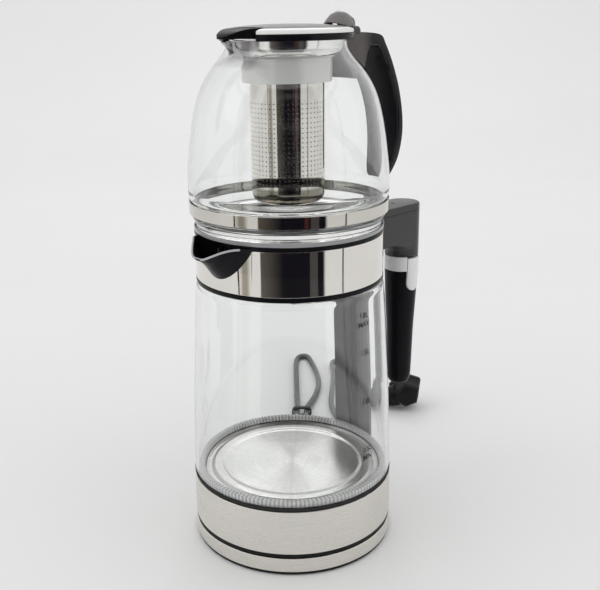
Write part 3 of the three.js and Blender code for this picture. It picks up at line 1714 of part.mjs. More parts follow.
// Finishes, by the look of each material
const finishes = {
  blackPlastic: [0x151515, 0.35, 0],
  greyPlastic: [0x3a3a3b, 0.25, 0],
  smokedPlastic: [0x55565a, 0.3, 0],
  rimPlastic: [0x8d8d90, 0.2, 0],
  trimPlastic: [0xcfcfd0, 0.25, 0.2],
  clearPlastic: [0xdfe3e4, 0.15, 0],
  rubber: [0x101010, 0.8, 0],
  satinSteel: [0xc8c4bb, 0.4, 1],
  mirrorSteel: [0xd4d2cc, 0.08, 1],
  aluminium: [0xb4b6b8, 0.45, 1],
  brass: [0xc9a24e, 0.3, 1],
  glass: [0xe6eeee, 0.05, 0],
};

const teaMaker = new THREE.Group();

function place(name, shape, finish) {
  const [color, roughness, metalness] = finishes[finish];
  const material = new THREE.MeshStandardMaterial({ color, roughness, metalness });
  if (finish === "glass" || finish === "clearPlastic") {
    material.transparent = true;
    material.opacity = 0.35;
  }
  const mesh = new THREE.Mesh(geometryOf(shape), material);
  mesh.name = name;
  teaMaker.add(mesh);
}

// The same solid in several places, each with a numbered name.
function placeEach(name, places, make, finish) {
  places.forEach((at, i) => place(`${name}_${i + 1}`, make(at), finish));
}

placeEach("base_foot", footPlaces, baseFoot, "rubber");
place("base_tray", baseTray(), "blackPlastic");
place("base_band", baseBand(), "satinSteel");
place("base_top", baseTop(), "blackPlastic");
placeEach("base_screw", baseScrewPlaces, baseScrew, "satinSteel");
place("base_connector", baseConnector(), "blackPlastic");
place("strain_relief", strainRelief(), "rubber");
place("power_cord", powerCord(), "rubber");
place("cord_tie", cordTie(), "blackPlastic");
place("plug_body", plugBody(), "blackPlastic");
placeEach("plug_pin", [-plugPinOffset, plugPinOffset], plugPin, "brass");
place("kettle_socket", kettleSocket(), "blackPlastic");

place("kettle_bottom", kettleBottom(), "blackPlastic");
placeEach("kettle_screw", kettleScrewPlaces, kettleScrew, "satinSteel");
place("kettle_band", kettleBand(), "satinSteel");
place("base_housing", baseHousing(), "blackPlastic");
place("kettle_seal", kettleSeal(), "rubber");
place("heating_plate", heatingPlate(), "satinSteel");
place("heating_element", heatingElement(), "aluminium");
place("control_unit", controlUnit(), "blackPlastic");
place("bimetal_disc", bimetalDisc(), "brass");
place("glass_seat_ring", seatRing(), "clearPlastic");
place("kettle_glass", kettleGlass(), "glass");
place("spine_cover", spineCover(), "smokedPlastic");
place("spine_lead", spineLead(), "rubber");
place("collar_gasket", collarGasket(), "rubber");
place("collar_frame", collarFrame(), "blackPlastic");
place("collar_band", collarBand(), "mirrorSteel");
place("spout_filter", spoutFilter(), "blackPlastic");
place("handle_housing", handleHousing(), "greyPlastic");
place("handle_cap", handleCap(), "greyPlastic");
place("handle_screw", handleScrew(0), "satinSteel");
place("indicator_lens", indicatorLens(), "smokedPlastic");
place("steam_switch", steamSwitch(), "blackPlastic");
place("handle_trim", handleTrim(), "trimPlastic");
place("handle_grip", handleGrip(), "blackPlastic");
place("lever_pin", leverPin(0), "satinSteel");
place("switch_lever", switchLever(), "trimPlastic");

place("kettle_lid_rim", lidRim(), "rimPlastic");
place("kettle_lid_disc", lidDisc(), "mirrorSteel");
place("kettle_lid_seal", lidSeal(), "rubber");

place("teapot_glass", potGlass(), "glass");
place("teapot_foot_band", footBand(), "mirrorSteel");
place("teapot_neck_ring", neckRing(), "blackPlastic");
place("teapot_handle", potHandle(), "greyPlastic");
place("teapot_handle_liner", potHandleLiner(), "blackPlastic");
place("lid_hinge_pin", hingePin(), "satinSteel");
place("teapot_lid", potLid(), "blackPlastic");
place("teapot_lid_liner", lidLiner(), "mirrorSteel");
place("thumb_tab", thumbTab(), "smokedPlastic");
place("spout_flap", spoutFlap(), "blackPlastic");
place("infuser_funnel", infuserFunnel(), "mirrorSteel");
place("infuser_basket", infuserBasket(), "mirrorSteel");

export default teaMaker;
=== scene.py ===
"""The look of the glass tea maker: fine surfaces, materials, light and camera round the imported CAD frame."""

import math

import bmesh
import bpy
from mathutils import Matrix, Vector


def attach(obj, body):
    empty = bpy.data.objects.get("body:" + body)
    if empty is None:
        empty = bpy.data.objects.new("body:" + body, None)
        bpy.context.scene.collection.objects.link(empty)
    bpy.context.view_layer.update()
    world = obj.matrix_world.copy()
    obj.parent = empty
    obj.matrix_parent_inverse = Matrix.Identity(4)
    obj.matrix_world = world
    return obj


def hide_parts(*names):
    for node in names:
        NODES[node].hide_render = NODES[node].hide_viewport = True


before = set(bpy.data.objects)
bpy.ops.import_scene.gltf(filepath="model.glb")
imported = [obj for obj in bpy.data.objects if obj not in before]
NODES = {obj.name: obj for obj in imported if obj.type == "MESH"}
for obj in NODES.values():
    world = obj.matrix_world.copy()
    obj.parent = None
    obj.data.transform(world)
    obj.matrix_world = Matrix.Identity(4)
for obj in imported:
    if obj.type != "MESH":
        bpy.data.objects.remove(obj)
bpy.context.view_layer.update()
MM = 0.001
GAP = 0.3  # millimetres between pieces that fit into each other
VIEW_TURN = -44.5  # degrees that the photograph's view is turned about Z
FRONT = VIEW_TURN - 90  # azimuth of the camera's side
scene = bpy.context.scene
scene.view_settings.view_transform = "Standard"


def placed(name, data):
    """A new object in the scene."""
    obj = bpy.data.objects.new(name, data)
    scene.collection.objects.link(obj)
    return obj


# Camera

PHOTO_WIDE, PHOTO_TALL = 600, 590


def place_camera():
    """The photograph's camera, from a fit to the body's ellipses and edges, in millimetres and radians."""
    distance, height = 604.0, 371.6
    yaw, pitch, roll = -0.019, 0.293, -0.019
    focal_px, centre_px = 889.7, (273.6, 284.0)
    spin = Matrix.Rotation(math.radians(VIEW_TURN), 3, "Z")
    ahead = Vector((math.sin(yaw) * math.cos(pitch), math.cos(yaw) * math.cos(pitch), -math.sin(pitch)))
    level = Vector((math.cos(yaw), -math.sin(yaw), 0))
    upright = level.cross(ahead)
    right = spin @ (math.cos(roll) * level + math.sin(roll) * upright)
    up = spin @ (-math.sin(roll) * level + math.cos(roll) * upright)
    data = bpy.data.cameras.new("camera")
    data.sensor_width = 36.0
    data.lens = focal_px * data.sensor_width / PHOTO_WIDE
    data.shift_x = (PHOTO_WIDE / 2 - centre_px[0]) / PHOTO_WIDE
    data.shift_y = (centre_px[1] - PHOTO_TALL / 2) / PHOTO_WIDE
    data.clip_start = 0.01
    camera = placed("camera", data)
    place = spin @ Vector((0, -distance * MM, height * MM))
    axes = Matrix((right, up, -(spin @ ahead))).transposed()
    camera.matrix_world = Matrix.LocRotScale(place, axes, None)
    scene.camera = camera


place_camera()


# Mesh helpers

SHARP = 32.0  # degrees that an edge turns at most where the shading runs on
SEGS = 160  # sides of a turned piece
LIE_X = Matrix.Rotation(math.pi / 2, 4, "Y")  # from along +Z to along +X
LIE_Y = Matrix.Rotation(math.pi / 2, 4, "X")  # from along +Z to along -Y


def made(name, verts, faces, sharp=SHARP, scale=MM):
    """A mesh object from points in millimetres, shaded smooth but for its sharp edges."""
    mesh = bpy.data.meshes.new(name)
    mesh.from_pydata([[c * scale for c in v] for v in verts], [], faces)
    return shade(placed(name, mesh), sharp)


def shade(obj, sharp=SHARP):
    """Outward faces, smooth but for edges that turn by more than some degrees."""
    bm = bmesh.new()
    bm.from_mesh(obj.data)
    bmesh.ops.recalc_face_normals(bm, faces=bm.faces)
    for face in bm.faces:
        face.smooth = True
    for edge in bm.edges:
        edge.smooth = len(edge.link_faces) == 2 and edge.calc_face_angle(0) < math.radians(sharp)
    bm.to_mesh(obj.data)
    bm.free()
    return obj


def moved(obj, matrix):
    obj.data.transform(matrix)
    return obj


def at(x, y, z):
    return Matrix.Translation((x * MM, y * MM, z * MM))


def arc(x, y, radius, start, span, steps):
    """Points on a circle round (x, y), from an angle and over a span that are both in half turns."""
    angles = [math.pi * (start + span * i / steps) for i in range(steps + 1)]
    return [(x + radius * math.cos(a), y + radius * math.sin(a)) for a in angles]


def around(count, radius, start):
    """Places spaced evenly round the axis, from an angle in degrees."""
    angles = [math.radians(start) + 2 * math.pi * i / count for i in range(count)]
    return [(radius * math.cos(a), radius * math.sin(a)) for a in angles]


def beside(run, distance):
    """A run of points in a plane, moved to its left."""
    run = [Vector(p) for p in run]
    out = []
    for i, point in enumerate(run):
        along = (run[min(i + 1, len(run) - 1)] - run[max(i - 1, 0)]).normalized()
        out.append(tuple(point + distance * Vector((-along.y, along.x))))
    return out


def rounded(points, steps=3, long=5, support=0.3):
    """A closed outline whose corners (r, z, radius) with a third number are rounded by it. A support point
    beyond each round keeps the long sides flat in the shading."""
    out = []
    for i, point in enumerate(points):
        if len(point) < 3 or point[2] <= 0:
            out.append(tuple(point[:2]))
            continue
        here = Vector(point[:2])
        before = Vector(points[i - 1][:2]) - here
        after = Vector(points[(i + 1) % len(points)][:2]) - here
        reach = min(point[2], 0.49 * before.length, 0.49 * after.length)
        start = here + before.normalized() * reach
        end = here + after.normalized() * reach
        if before.length > long:
            out.append(tuple(here + before.normalized() * (reach + support)))
        for k in range(steps + 1):
            t = k / steps
            out.append(tuple((1 - t) ** 2 * start + 2 * t * (1 - t) * here + t * t * end))
        if after.length > long:
            out.append(tuple(here + after.normalized() * (reach + support)))
    return out


def spun(points, segments):
    """Points and faces of a closed outline [(r, z)] turned about Z. A point on the axis stays single."""
    verts, rows, faces = [], [], []
    for r, z in points:
        if r < 1e-6:
            rows.append([len(verts)] * segments)
            verts.append((0, 0, z))
            continue
        rows.append(list(range(len(verts), len(verts) + segments)))
        verts += [(x, y, z) for x, y in around(segments, r, 0)]
    for a, b in zip(rows, rows[1:] + rows[:1]):
        for i in range(segments):
            j = (i + 1) % segments
            face = list(dict.fromkeys((a[i], a[j], b[j], b[i])))
            if len(face) > 2:
                faces.append(face)
    return verts, faces


def lathe(name, points, segments=SEGS, place=(0, 0), sharp=SHARP):
    verts, faces = spun(rounded(points), segments)
    return made(name, [(x + place[0], y + place[1], z) for x, y, z in verts], faces, sharp)


def ring(name, inner, outer, low, high, edges=(0, 0, 0, 0), segments=SEGS, place=(0, 0)):
    """A turned ring of square section. The edges' radii start at the inner lower one and go by the outer."""
    corners = ((inner, low), (outer, low), (outer, high), (inner, high))
    return lathe(name, [(*c, edge) for c, edge in zip(corners, edges)], segments, place)


def rod(name, radius, low, high, place=(0, 0), segments=48, edge=0):
    return ring(name, 0, radius, low, high, (0, edge, edge, 0), segments, place)


def bar_y(name, radius, half, place, edge=0, segments=32):
    """A bar along Y through a place (x, z)."""
    bar = rod(name, radius, -half, half, segments=segments, edge=edge)
    return moved(bar, at(place[0], 0, place[1]) @ LIE_Y)


def lofted(name, rings, sharp=SHARP):
    """A skin over rings of points, with a cap at each end."""
    size = len(rings[0])
    last = (len(rings) - 1) * size
    faces = []
    for r in range(0, last, size):
        faces += [(r + i, r + (i + 1) % size, r + size + (i + 1) % size, r + size + i) for i in range(size)]
    faces += [tuple(range(size)), tuple(range(last, last + size))]
    return made(name, [p for ring_points in rings for p in ring_points], faces, sharp)


def extruded(name, outline, low, high):
    """A plan outline [(x, y)] raised from low to high."""
    count = len(outline)
    verts = [(x, y, z) for z in (low, high) for x, y in outline]
    faces = [tuple(range(count))[::-1], tuple(range(count, 2 * count))]
    faces += [(i, (i + 1) % count, count + (i + 1) % count, count + i) for i in range(count)]
    return made(name, verts, faces)


def side_on(name, outline, half):
    """A side outline [(x, z)] widened along Y to both sides."""
    return moved(extruded(name, outline, -half, half), LIE_Y)


def box(name, low, high):
    (x0, y0, z0), (x1, y1, z1) = low, high
    return extruded(name, [(x0, y0), (x1, y0), (x1, y1), (x0, y1)], z0, z1)


def applied(obj):
    """Puts the modifiers' result in place of the mesh."""
    bpy.context.view_layer.update()
    graph = bpy.context.evaluated_depsgraph_get()
    old = obj.data
    mesh = bpy.data.meshes.new_from_object(obj.evaluated_get(graph))
    obj.modifiers.clear()
    obj.data = mesh
    bpy.data.meshes.remove(old)


def bevelled(obj, width, segments=3, angle=35.0, sharp=SHARP):
    modifier = obj.modifiers.new("edge", "BEVEL")
    modifier.width = width * MM
    modifier.segments = segments
    modifier.limit_method = "ANGLE"
    modifier.angle_limit = math.radians(angle)
    modifier.use_clamp_overlap = True
    applied(obj)
    return shade(obj, sharp)


def combined(operation, obj, tools, sharp):
    """obj combined with each tool in turn. The tools are used up."""
    for tool in tools:
        modifier = obj.modifiers.new("combine", "BOOLEAN")
        modifier.operation = operation
        modifier.solver = "EXACT"
        modifier.object = tool
        applied(obj)
        bpy.data.objects.remove(tool)
        shade(obj, sharp)
    return obj


def cut(obj, *tools, sharp=SHARP):
    return combined("DIFFERENCE", obj, tools, sharp)


def fuse(obj, *tools, sharp=SHARP):
    return combined("UNION", obj, tools, sharp)


def within(obj, *tools, sharp=SHARP):
    return combined("INTERSECT", obj, tools, sharp)


def copied(node, name, edge=0.0, segments=2):
    """A copy of a CAD node with its flat faces merged and its hard edges rounded."""
    sharp = 35.0
    bm = bmesh.new()
    bm.from_mesh(NODES[node].data)
    bmesh.ops.remove_doubles(bm, verts=bm.verts, dist=1e-6)
    bmesh.ops.dissolve_limit(bm, angle_limit=math.radians(0.6), verts=bm.verts, edges=bm.edges)
    mesh = bpy.data.meshes.new(name)
    bm.to_mesh(mesh)
    bm.free()
    obj = shade(placed(name, mesh), sharp)
    return bevelled(obj, edge, segments, sharp, sharp) if edge else obj


def join(objs, name):
    """Several mesh objects as one."""
    bm = bmesh.new()
    for obj in objs:
        bm.from_mesh(obj.data)
        bpy.data.objects.remove(obj)
    mesh = bpy.data.meshes.new(name)
    bm.to_mesh(mesh)
    bm.free()
    return placed(name, mesh)


def spline(points, count):
    """Points along a smooth run through control points, in any number of dimensions."""
    pts = [Vector(p) for p in points]
    out = []
    for p0, p1, p2, p3 in zip(pts[:1] + pts, pts, pts[1:], pts[2:] + pts[-1:]):
        square, cube = 2 * p0 - 5 * p1 + 4 * p2 - p3, 3 * p1 - p0 - 3 * p2 + p3
        for k in range(count):
            t = k / count
            out.append(tuple(0.5 * (2 * p1 + (p2 - p0) * t + square * t * t + cube * t ** 3)))
    return out + [tuple(pts[-1])]


# Materials

class Nodes:
    """Short ways to add shader nodes to one material."""

    def __init__(self, name):
        self.material = bpy.data.materials.new(name)
        self.material.use_nodes = True
        self.tree = self.material.node_tree
        self.surface = self.tree.nodes["Principled BSDF"]

    def feed(self, socket, value):
        """Gives a socket a number, a colour or another node's output."""
        if isinstance(value, tuple):
            socket.default_value = (*value, 1.0)
        elif isinstance(value, (int, float)):
            socket.default_value = value
        else:
            self.tree.links.new(value, socket)

    def set(self, **values):
        for key, value in values.items():
            self.feed(self.surface.inputs[key.replace("_", " ")], value)

    def add(self, kind, *values, out=0, **named):
        """The output of a new node, whose sockets are fed in order or by name."""
        node = self.tree.nodes.new("ShaderNode" + kind)
        for key, value in named.items():
            if hasattr(node, key):
                setattr(node, key, value)
            else:
                self.feed(node.inputs[key.replace("_", " ")], value)
        for socket, value in zip(node.inputs, values):
            self.feed(socket, value)
        return node.outputs[out]

    def math(self, operation, *values):
        return self.add("Math", *values, operation=operation)

    def times(self, a, b):
        return self.math("MULTIPLY", a, b)

    def place(self):
        """Position in the part's frame, in metres."""
        return self.add("TexCoord", out="Object")

    def axes(self):
        """X, Y and Z of the place."""
        return self.add("SeparateXYZ", self.place()).node.outputs

    def polar(self):
        """Angle in radians, radius and height of the place, from the part's axis."""
        x, y, z = self.axes()
        square = self.math("ADD", self.times(x, x), self.times(y, y))
        return self.math("ARCTAN2", y, x), self.math("SQRT", square), z

    def noise(self, vector, scale, detail=3.0, roughness=0.5):
        return self.add("TexNoise", out="Fac", Vector=vector, Scale=scale, Detail=detail, Roughness=roughness)

    def spread(self, value, low, high, start=0.3, end=0.7):
        """A texture's value mapped to a range."""
        return self.add("MapRange", Value=value, From_Min=start, From_Max=end, To_Min=low, To_Max=high)

    def mixed(self, factor, a, b):
        mix = self.add("Mix", factor, data_type="RGBA", out=2)
        self.feed(mix.node.inputs[6], a)
        self.feed(mix.node.inputs[7], b)
        return mix

    def bump(self, height, strength, distance=0.0002):
        self.set(Normal=self.add("Bump", Height=height, Strength=strength, Distance=distance))

    def turned_sheen(self, amount):
        """Stretches highlights across marks that run round the axis."""
        self.set(Anisotropic=amount, Tangent=self.add("Tangent", direction_type="RADIAL", axis="Z"))


def tinted(colour, share):
    return tuple(c * share for c in colour)


def moulded(name, bump, gloss):
    """The nodes of a moulded plastic with its fine texture, and a faint clouding."""
    n = Nodes(name)
    n.set(Specular_IOR_Level=gloss)
    n.bump(n.noise(n.place(), 900.0, 2.0), bump, 0.00005)
    return n, n.noise(n.place(), 35.0, 4.0)


def plastic(name, colour, roughness, bump=0.02, gloss=0.5, vary=0.25):
    """Moulded plastic whose colour and gloss vary a little."""
    n, cloud = moulded(name, bump, gloss)
    n.set(Base_Color=n.mixed(cloud, tinted(colour, 1 - vary), tinted(colour, 1 + vary)))
    n.set(Roughness=n.spread(cloud, roughness * 0.85, roughness * 1.2))
    return n.material


def lid_painted_highlight(name, middle, rim):
    """Glossy lid: a dark crown, and painted highlight: a pale colour on the sloping rim from 40 mm out, but
    for the arm at the back.
    """
    n, cloud = moulded(name, 0.02, 0.4)
    x = n.axes()[0]
    # Painted highlight: the rim's pale colour stands in for the bright band that the glossy black rim
    # reflects.
    out = n.times(n.spread(n.polar()[1], 0.0, 1.0, 0.0398, 0.0406), n.math("LESS_THAN", x, 0.034))
    n.set(Base_Color=n.mixed(out, n.mixed(cloud, middle, tinted(middle, 1.3)), rim))
    n.set(Roughness=n.spread(cloud, 0.14, 0.2))
    return n.material


def darker_outwards(name, near, far, roughness, gloss):
    """Moulded plastic whose colour deepens away from the axis, over 11 mm."""
    n, cloud = moulded(name, 0.04, gloss)
    tone = n.mixed(n.spread(n.axes()[0], 0.0, 1.0, 0.061, 0.072), near, far)
    n.set(Base_Color=n.mixed(n.times(cloud, 0.3), tone, (0.01, 0.01, 0.01)))
    n.set(Roughness=n.spread(cloud, roughness * 0.85, roughness * 1.2))
    return n.material


def clear(name, colour, painted_shade=None):
    """Blown glass: a faint waviness bends what it reflects. A beak may get painted shade: its glass is tinted
    grey under the dark flap.
    """
    n = Nodes(name)
    wobble = n.noise(n.place(), 22.0, 2.0)
    if painted_shade:
        # Painted shade: the beak's glass colour turns grey under the dark flap.
        x, _, z = n.axes()
        beak = n.times(n.spread(x, 1.0, 0.0, -0.0425, -0.0400), n.spread(z, 0.0, 1.0, 0.340, 0.347))
        colour = n.mixed(beak, colour, painted_shade)
    n.set(Base_Color=colour, Transmission_Weight=1.0, IOR=1.47, Roughness=n.spread(wobble, 0.0, 0.012))
    n.bump(wobble, 0.004, 0.001)
    return n.material


def round_brushed(name, colour, roughness):
    """Sheet steel brushed round the body: fine lines that run with the angle."""
    n = Nodes(name)
    angle, radius, z = n.polar()
    lines = n.add("CombineXYZ", n.times(angle, 0.8), n.times(radius, 40.0), n.times(z, 900.0))
    lines = n.noise(lines, 3.0, 4.0, 0.6)
    worn = n.math("ADD", lines, n.times(n.noise(n.place(), 18.0), 0.3))
    n.set(Base_Color=n.mixed(n.spread(lines, 0.0, 1.0, 0.25, 0.75), tinted(colour, 0.9), colour))
    n.set(Metallic=1.0, Roughness=n.spread(worn, roughness * 0.8, roughness * 1.2, 0.4, 0.9))
    n.turned_sheen(0.6)
    n.bump(lines, 0.06, 0.00004)
    return n.material


def spun_steel(name, colour, roughness):
    """Steel brushed in circles, whose highlight opens into fans from the middle."""
    n = Nodes(name)
    angle, radius, _ = n.polar()
    lines = n.noise(n.add("CombineXYZ", n.times(angle, 0.5), n.times(radius, 1600.0), 0.0), 1.0, 4.0, 0.65)
    rays = n.noise(n.add("CombineXYZ", n.times(angle, 5.0), 0.0, 0.0), 3.0, 3.0)
    n.set(Base_Color=n.mixed(n.spread(rays, 0.0, 1.0), tinted(colour, 0.86), colour))
    n.set(Metallic=1.0, Roughness=n.spread(lines, roughness * 0.8, roughness * 1.25))
    n.turned_sheen(0.85)
    n.bump(lines, 0.12, 0.00005)
    return n.material


MIRROR = (0.80, 0.775, 0.735)


def polished(name, colour=MIRROR, roughness=0.045):
    """Mirror-polished sheet: hazy smears and a slight waviness."""
    n = Nodes(name)
    smear = n.noise(n.place(), 30.0, 5.0)
    n.set(Base_Color=n.mixed(n.spread(smear, 0.0, 1.0), tinted(colour, 0.95), colour))
    n.set(Metallic=1.0, Roughness=n.spread(smear, roughness * 0.6, roughness * 1.5))
    n.bump(n.noise(n.place(), 26.0, 1.0), 0.05, 0.0004)
    return n.material


def funnel_steel(name):
    """Pale satin steel, polished bright above the shoulder."""
    n = Nodes(name)
    z = n.axes()[2]
    smear = n.noise(n.place(), 30.0, 5.0)
    shoulder = 0.3435, 0.3465
    n.set(Base_Color=n.mixed(n.spread(smear, 0.0, 1.0), (0.87, 0.865, 0.85), (0.93, 0.925, 0.91)))
    n.set(Metallic=n.spread(z, 0.22, 1.0, *shoulder), Roughness=n.spread(z, 0.30, 0.12, *shoulder))
    n.bump(smear, 0.03)
    return n.material


def perforated(name, rows, columns, low, high, hole):
    """Polished sheet with rows of round holes, worked out from the place on the basket, and a darker brownish
    foot.
    """
    n = Nodes(name)
    angle, radius, z = n.polar()

    def from_hole(turns, pitch):
        """Distance to the nearest hole's middle, in millimetres."""
        return n.times(n.math("SUBTRACT", n.math("FRACT", turns), 0.5), pitch)

    whole = 500.0
    column = n.math("ADD", n.times(angle, columns / (2 * math.pi)), whole)
    row = n.times(n.math("SUBTRACT", z, low * MM), rows / ((high - low) * MM))
    across = from_hole(column, 2 * math.pi * BASKET_R / columns)
    up = from_hole(row, (high - low) / rows)
    away = n.math("SQRT", n.math("ADD", n.times(across, across), n.times(up, up)))
    rows_only = n.times(n.math("GREATER_THAN", z, low * MM), n.math("LESS_THAN", z, high * MM))
    wall = n.math("GREATER_THAN", radius, (BASKET_R - 1) * MM)
    mask = n.times(n.times(n.spread(away, 1.0, 0.0, hole * 0.85, hole * 1.15), rows_only), wall)
    foot = n.spread(z, 1.0, 0.0, (low - 2.5) * MM, (low - 0.5) * MM)
    n.set(Base_Color=n.mixed(mask, n.mixed(foot, MIRROR, (0.30, 0.28, 0.235)), (0.02, 0.018, 0.016)))
    smear = n.spread(n.noise(n.place(), 40.0, 4.0), 0.04, 0.09)
    sheet = n.math("SUBTRACT", 1.0, mask)
    n.set(Metallic=sheet, Roughness=n.math("MAXIMUM", smear, n.times(mask, 0.8)))
    n.bump(sheet, 0.15)
    return n.material


def flat_metal(name, colour, roughness):
    n = Nodes(name)
    grain = n.noise(n.place(), 500.0, 4.0)
    n.set(Base_Color=n.mixed(grain, tinted(colour, 0.8), colour), Metallic=1.0)
    n.set(Roughness=n.spread(grain, roughness * 0.8, roughness * 1.2))
    n.bump(grain, 0.1, 0.00005)
    return n.material


def ribbed_clear_painted_light(name, ribs):
    """Clear plastic whose ribs get painted highlight and painted shade in turn, pale and grey, all the way
    round.
    """
    n = Nodes(name)
    wave = n.math("SINE", n.times(n.polar()[0], float(ribs)))
    flank = -0.6, 0.6
    # Painted highlight and painted shade: the colour goes pale and grey in turn with the ribs.
    n.set(Base_Color=n.mixed(n.spread(wave, 0.0, 1.0, *flank), (0.70, 0.70, 0.70), (1.0, 1.0, 1.0)))
    n.set(Transmission_Weight=n.spread(wave, 0.08, 0.0, *flank), IOR=1.49, Roughness=0.08)
    n.bump(wave, 0.3, 0.0003)
    return n.material


def smoked(name):
    """Translucent grey strip behind the glass."""
    n = Nodes(name)
    x, y, z = n.axes()
    cloud = n.noise(n.add("CombineXYZ", n.times(x, 3.0), n.times(y, 3.0), z), 10.0, 3.0)
    n.set(Base_Color=n.mixed(cloud, (0.078, 0.078, 0.08), (0.092, 0.092, 0.094)))
    n.set(Roughness=n.spread(cloud, 0.2, 0.3), IOR=1.5, Alpha=0.86)
    return n.material


RIBS = 150
BASKET_R = 25.0
GLASS_TINT = (0.985, 0.995, 0.99)

# For each key, a slot name and the material.
MATERIALS = {
    "band": ("brushed_steel", round_brushed("brushed_band", (0.80, 0.772, 0.725), 0.27)),
    "plate": ("spun_steel", spun_steel("spun_plate", (0.74, 0.735, 0.72), 0.30)),
    "mirror": ("polished_steel", polished("mirror_steel")),
    "foot": ("polished_steel", polished("foot_steel", (0.66, 0.635, 0.59))),
    "funnel": ("polished_steel", funnel_steel("satin_funnel")),
    "basket": (
        "polished_steel",
        perforated("perforated_steel", rows=18, columns=50, low=262.5, high=318.3, hole=0.41),
    ),
    "glass": ("clear_glass", clear("clear_glass", GLASS_TINT)),
    "beaked": ("clear_glass", clear("beaked_glass_painted_shade", GLASS_TINT, painted_shade=(0.50, 0.49, 0.51))),
    "ribs": ("clear_plastic", ribbed_clear_painted_light("ribbed_plastic_painted_light", RIBS)),
    "black": ("black_plastic", plastic("black_gloss", (0.005, 0.005, 0.007), 0.24, gloss=0.12)),
    "lid": ("black_plastic", lid_painted_highlight("lid_gloss_painted_highlight", (0.030, 0.030, 0.031), (0.76, 0.76, 0.75))),
    "flap": ("black_plastic", plastic("flap_black", (0.005, 0.005, 0.006), 0.3, bump=0.03, gloss=0.06)),
    "satin": (
        "satin_black_plastic",
        plastic("black_satin", (0.008, 0.008, 0.009), 0.38, bump=0.12, gloss=0.16),
    ),
    "grip": ("black_plastic", plastic("grip_black", (0.005, 0.005, 0.007), 0.3, bump=0.08, gloss=0.11)),
    "grey": ("grey_plastic", plastic("dark_grey", (0.035, 0.034, 0.034), 0.3, bump=0.04, gloss=0.35)),
    "brown": (
        "black_plastic",
        darker_outwards("brown_grey", (0.102, 0.091, 0.088), (0.008, 0.008, 0.010), roughness=0.32, gloss=0.2),
    ),
    "rim": ("rim_plastic", plastic("rim_grey", (0.28, 0.28, 0.285), 0.22)),
    "bead": ("rim_plastic", plastic("bead_grey", (0.42, 0.42, 0.44), 0.3)),
    "silver": ("silver_plastic", plastic("silver", (0.72, 0.72, 0.73), 0.3, bump=0.03, vary=0.05)),
    "smoked": ("smoked_plastic", smoked("smoked_plastic")),
    "tab": ("smoked_plastic", plastic("tab_smoked", (0.15, 0.14, 0.138), 0.16)),
    "rubber": ("rubber", plastic("rubber_matt", (0.02, 0.02, 0.02), 0.7, bump=0.2, gloss=0.3)),
    "cord": ("cord_rubber", plastic("cord_sheath", (0.085, 0.085, 0.088), 0.24, bump=0.06, gloss=0.7)),
    "screw": ("screw_steel", flat_metal("screw_steel", (0.6, 0.6, 0.6), 0.35)),
    "cast": ("cast_metal", flat_metal("cast_aluminium", (0.62, 0.63, 0.64), 0.45)),
    "brass": ("brass", flat_metal("plated_brass", (0.72, 0.6, 0.38), 0.28)),
    "marks": ("grey_plastic", plastic("printed_grey", (0.02, 0.02, 0.022), 0.6, gloss=0.2)),
    # Painted shade: the hinge pin is dark steel, standing in for the shade in its bore.
    "pin_painted_shade": ("screw_steel", flat_metal("pin_painted_shade", (0.10, 0.10, 0.10), 0.4)),
}


def paint(obj, material):
    obj.data.materials.clear()
    obj.data.materials.append(MATERIALS[material][1])


def dress(obj, material, body, node=None):
    """Gives a piece its material and its body, and hides the node that it stands for."""
    paint(obj, material)
    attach(obj, body)
    if node:
        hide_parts(node)
    return obj


# Cord and plug

CORD_ROUTE = [
    (4.5, 4.6, 7.2), (10.8, 11.0, 6.4), (18.9, 18.5, 4.6), (29.8, 27.4, 3.2), (42.7, 38.5, 3.4),
    (55.7, 49.6, 4.4), (65.9, 59.2, 4.8), (76.1, 68.8, 4.4), (88.7, 81.7, 3.2), (107.6, 100.9, 3.1),
    (128.6, 122.3, 3.1), (148.3, 142.3, 3.1), (160.6, 154.2, 3.1), (170.4, 160.6, 3.1), (174.5, 162.0, 3.1),
    (178.7, 160.5, 3.1), (180.9, 156.6, 3.1), (180.4, 152.9, 3.1), (175.8, 145.6, 3.1), (164.6, 129.0, 3.1),
    (151.4, 111.2, 3.1), (134.5, 92.7, 3.1), (116.3, 78.4, 3.1), (96.6, 66.9, 3.4), (83.6, 60.1, 4.4),
    (73.0, 52.2, 4.8), (62.0, 43.4, 4.4), (51.3, 34.3, 3.2), (42.9, 25.7, 3.1), (38.4, 13.4, 3.1),
    (44.1, -0.0, 3.1), (57.6, -5.6, 3.1), (71.4, 0.6, 3.1), (85.0, 18.0, 3.1), (95.8, 35.4, 3.1),
    (107.0, 48.3, 3.1), (122.8, 62.2, 3.1), (143.9, 79.3, 3.1), (165.3, 97.6, 3.1), (180.6, 113.1, 3.1),
    (188.1, 120.1, 3.1), (192.0, 121.4, 3.1), (196.2, 119.9, 3.1), (198.4, 116.0, 3.1), (197.5, 111.4, 3.1),
    (189.7, 97.4, 3.1), (175.7, 79.9, 3.1), (161.1, 66.2, 3.1), (144.1, 53.9, 3.1), (131.1, 44.4, 3.1),
    (124.9, 38.2, 3.1), (123.1, 32.4, 3.1), (124.0, 25.9, 3.3),
]
CORD_THICK = 0.006
EXIT_ANGLE, EXIT_Z, EXIT_R = math.radians(45.5), 7.2, 73 + 24 + 0.6
EXIT_TURN = Matrix.Rotation(EXIT_ANGLE, 4, "Z")
RELIEF_TIP = Vector((EXIT_R * math.cos(EXIT_ANGLE), EXIT_R * math.sin(EXIT_ANGLE), 0))
PLUG_TAIL = RELIEF_TIP + Vector((131, 17.3, 6.0))
PLUG_HEART = RELIEF_TIP + Vector((153.2, -4.9, 16.8))
PLUG_WAY = PLUG_HEART - PLUG_TAIL


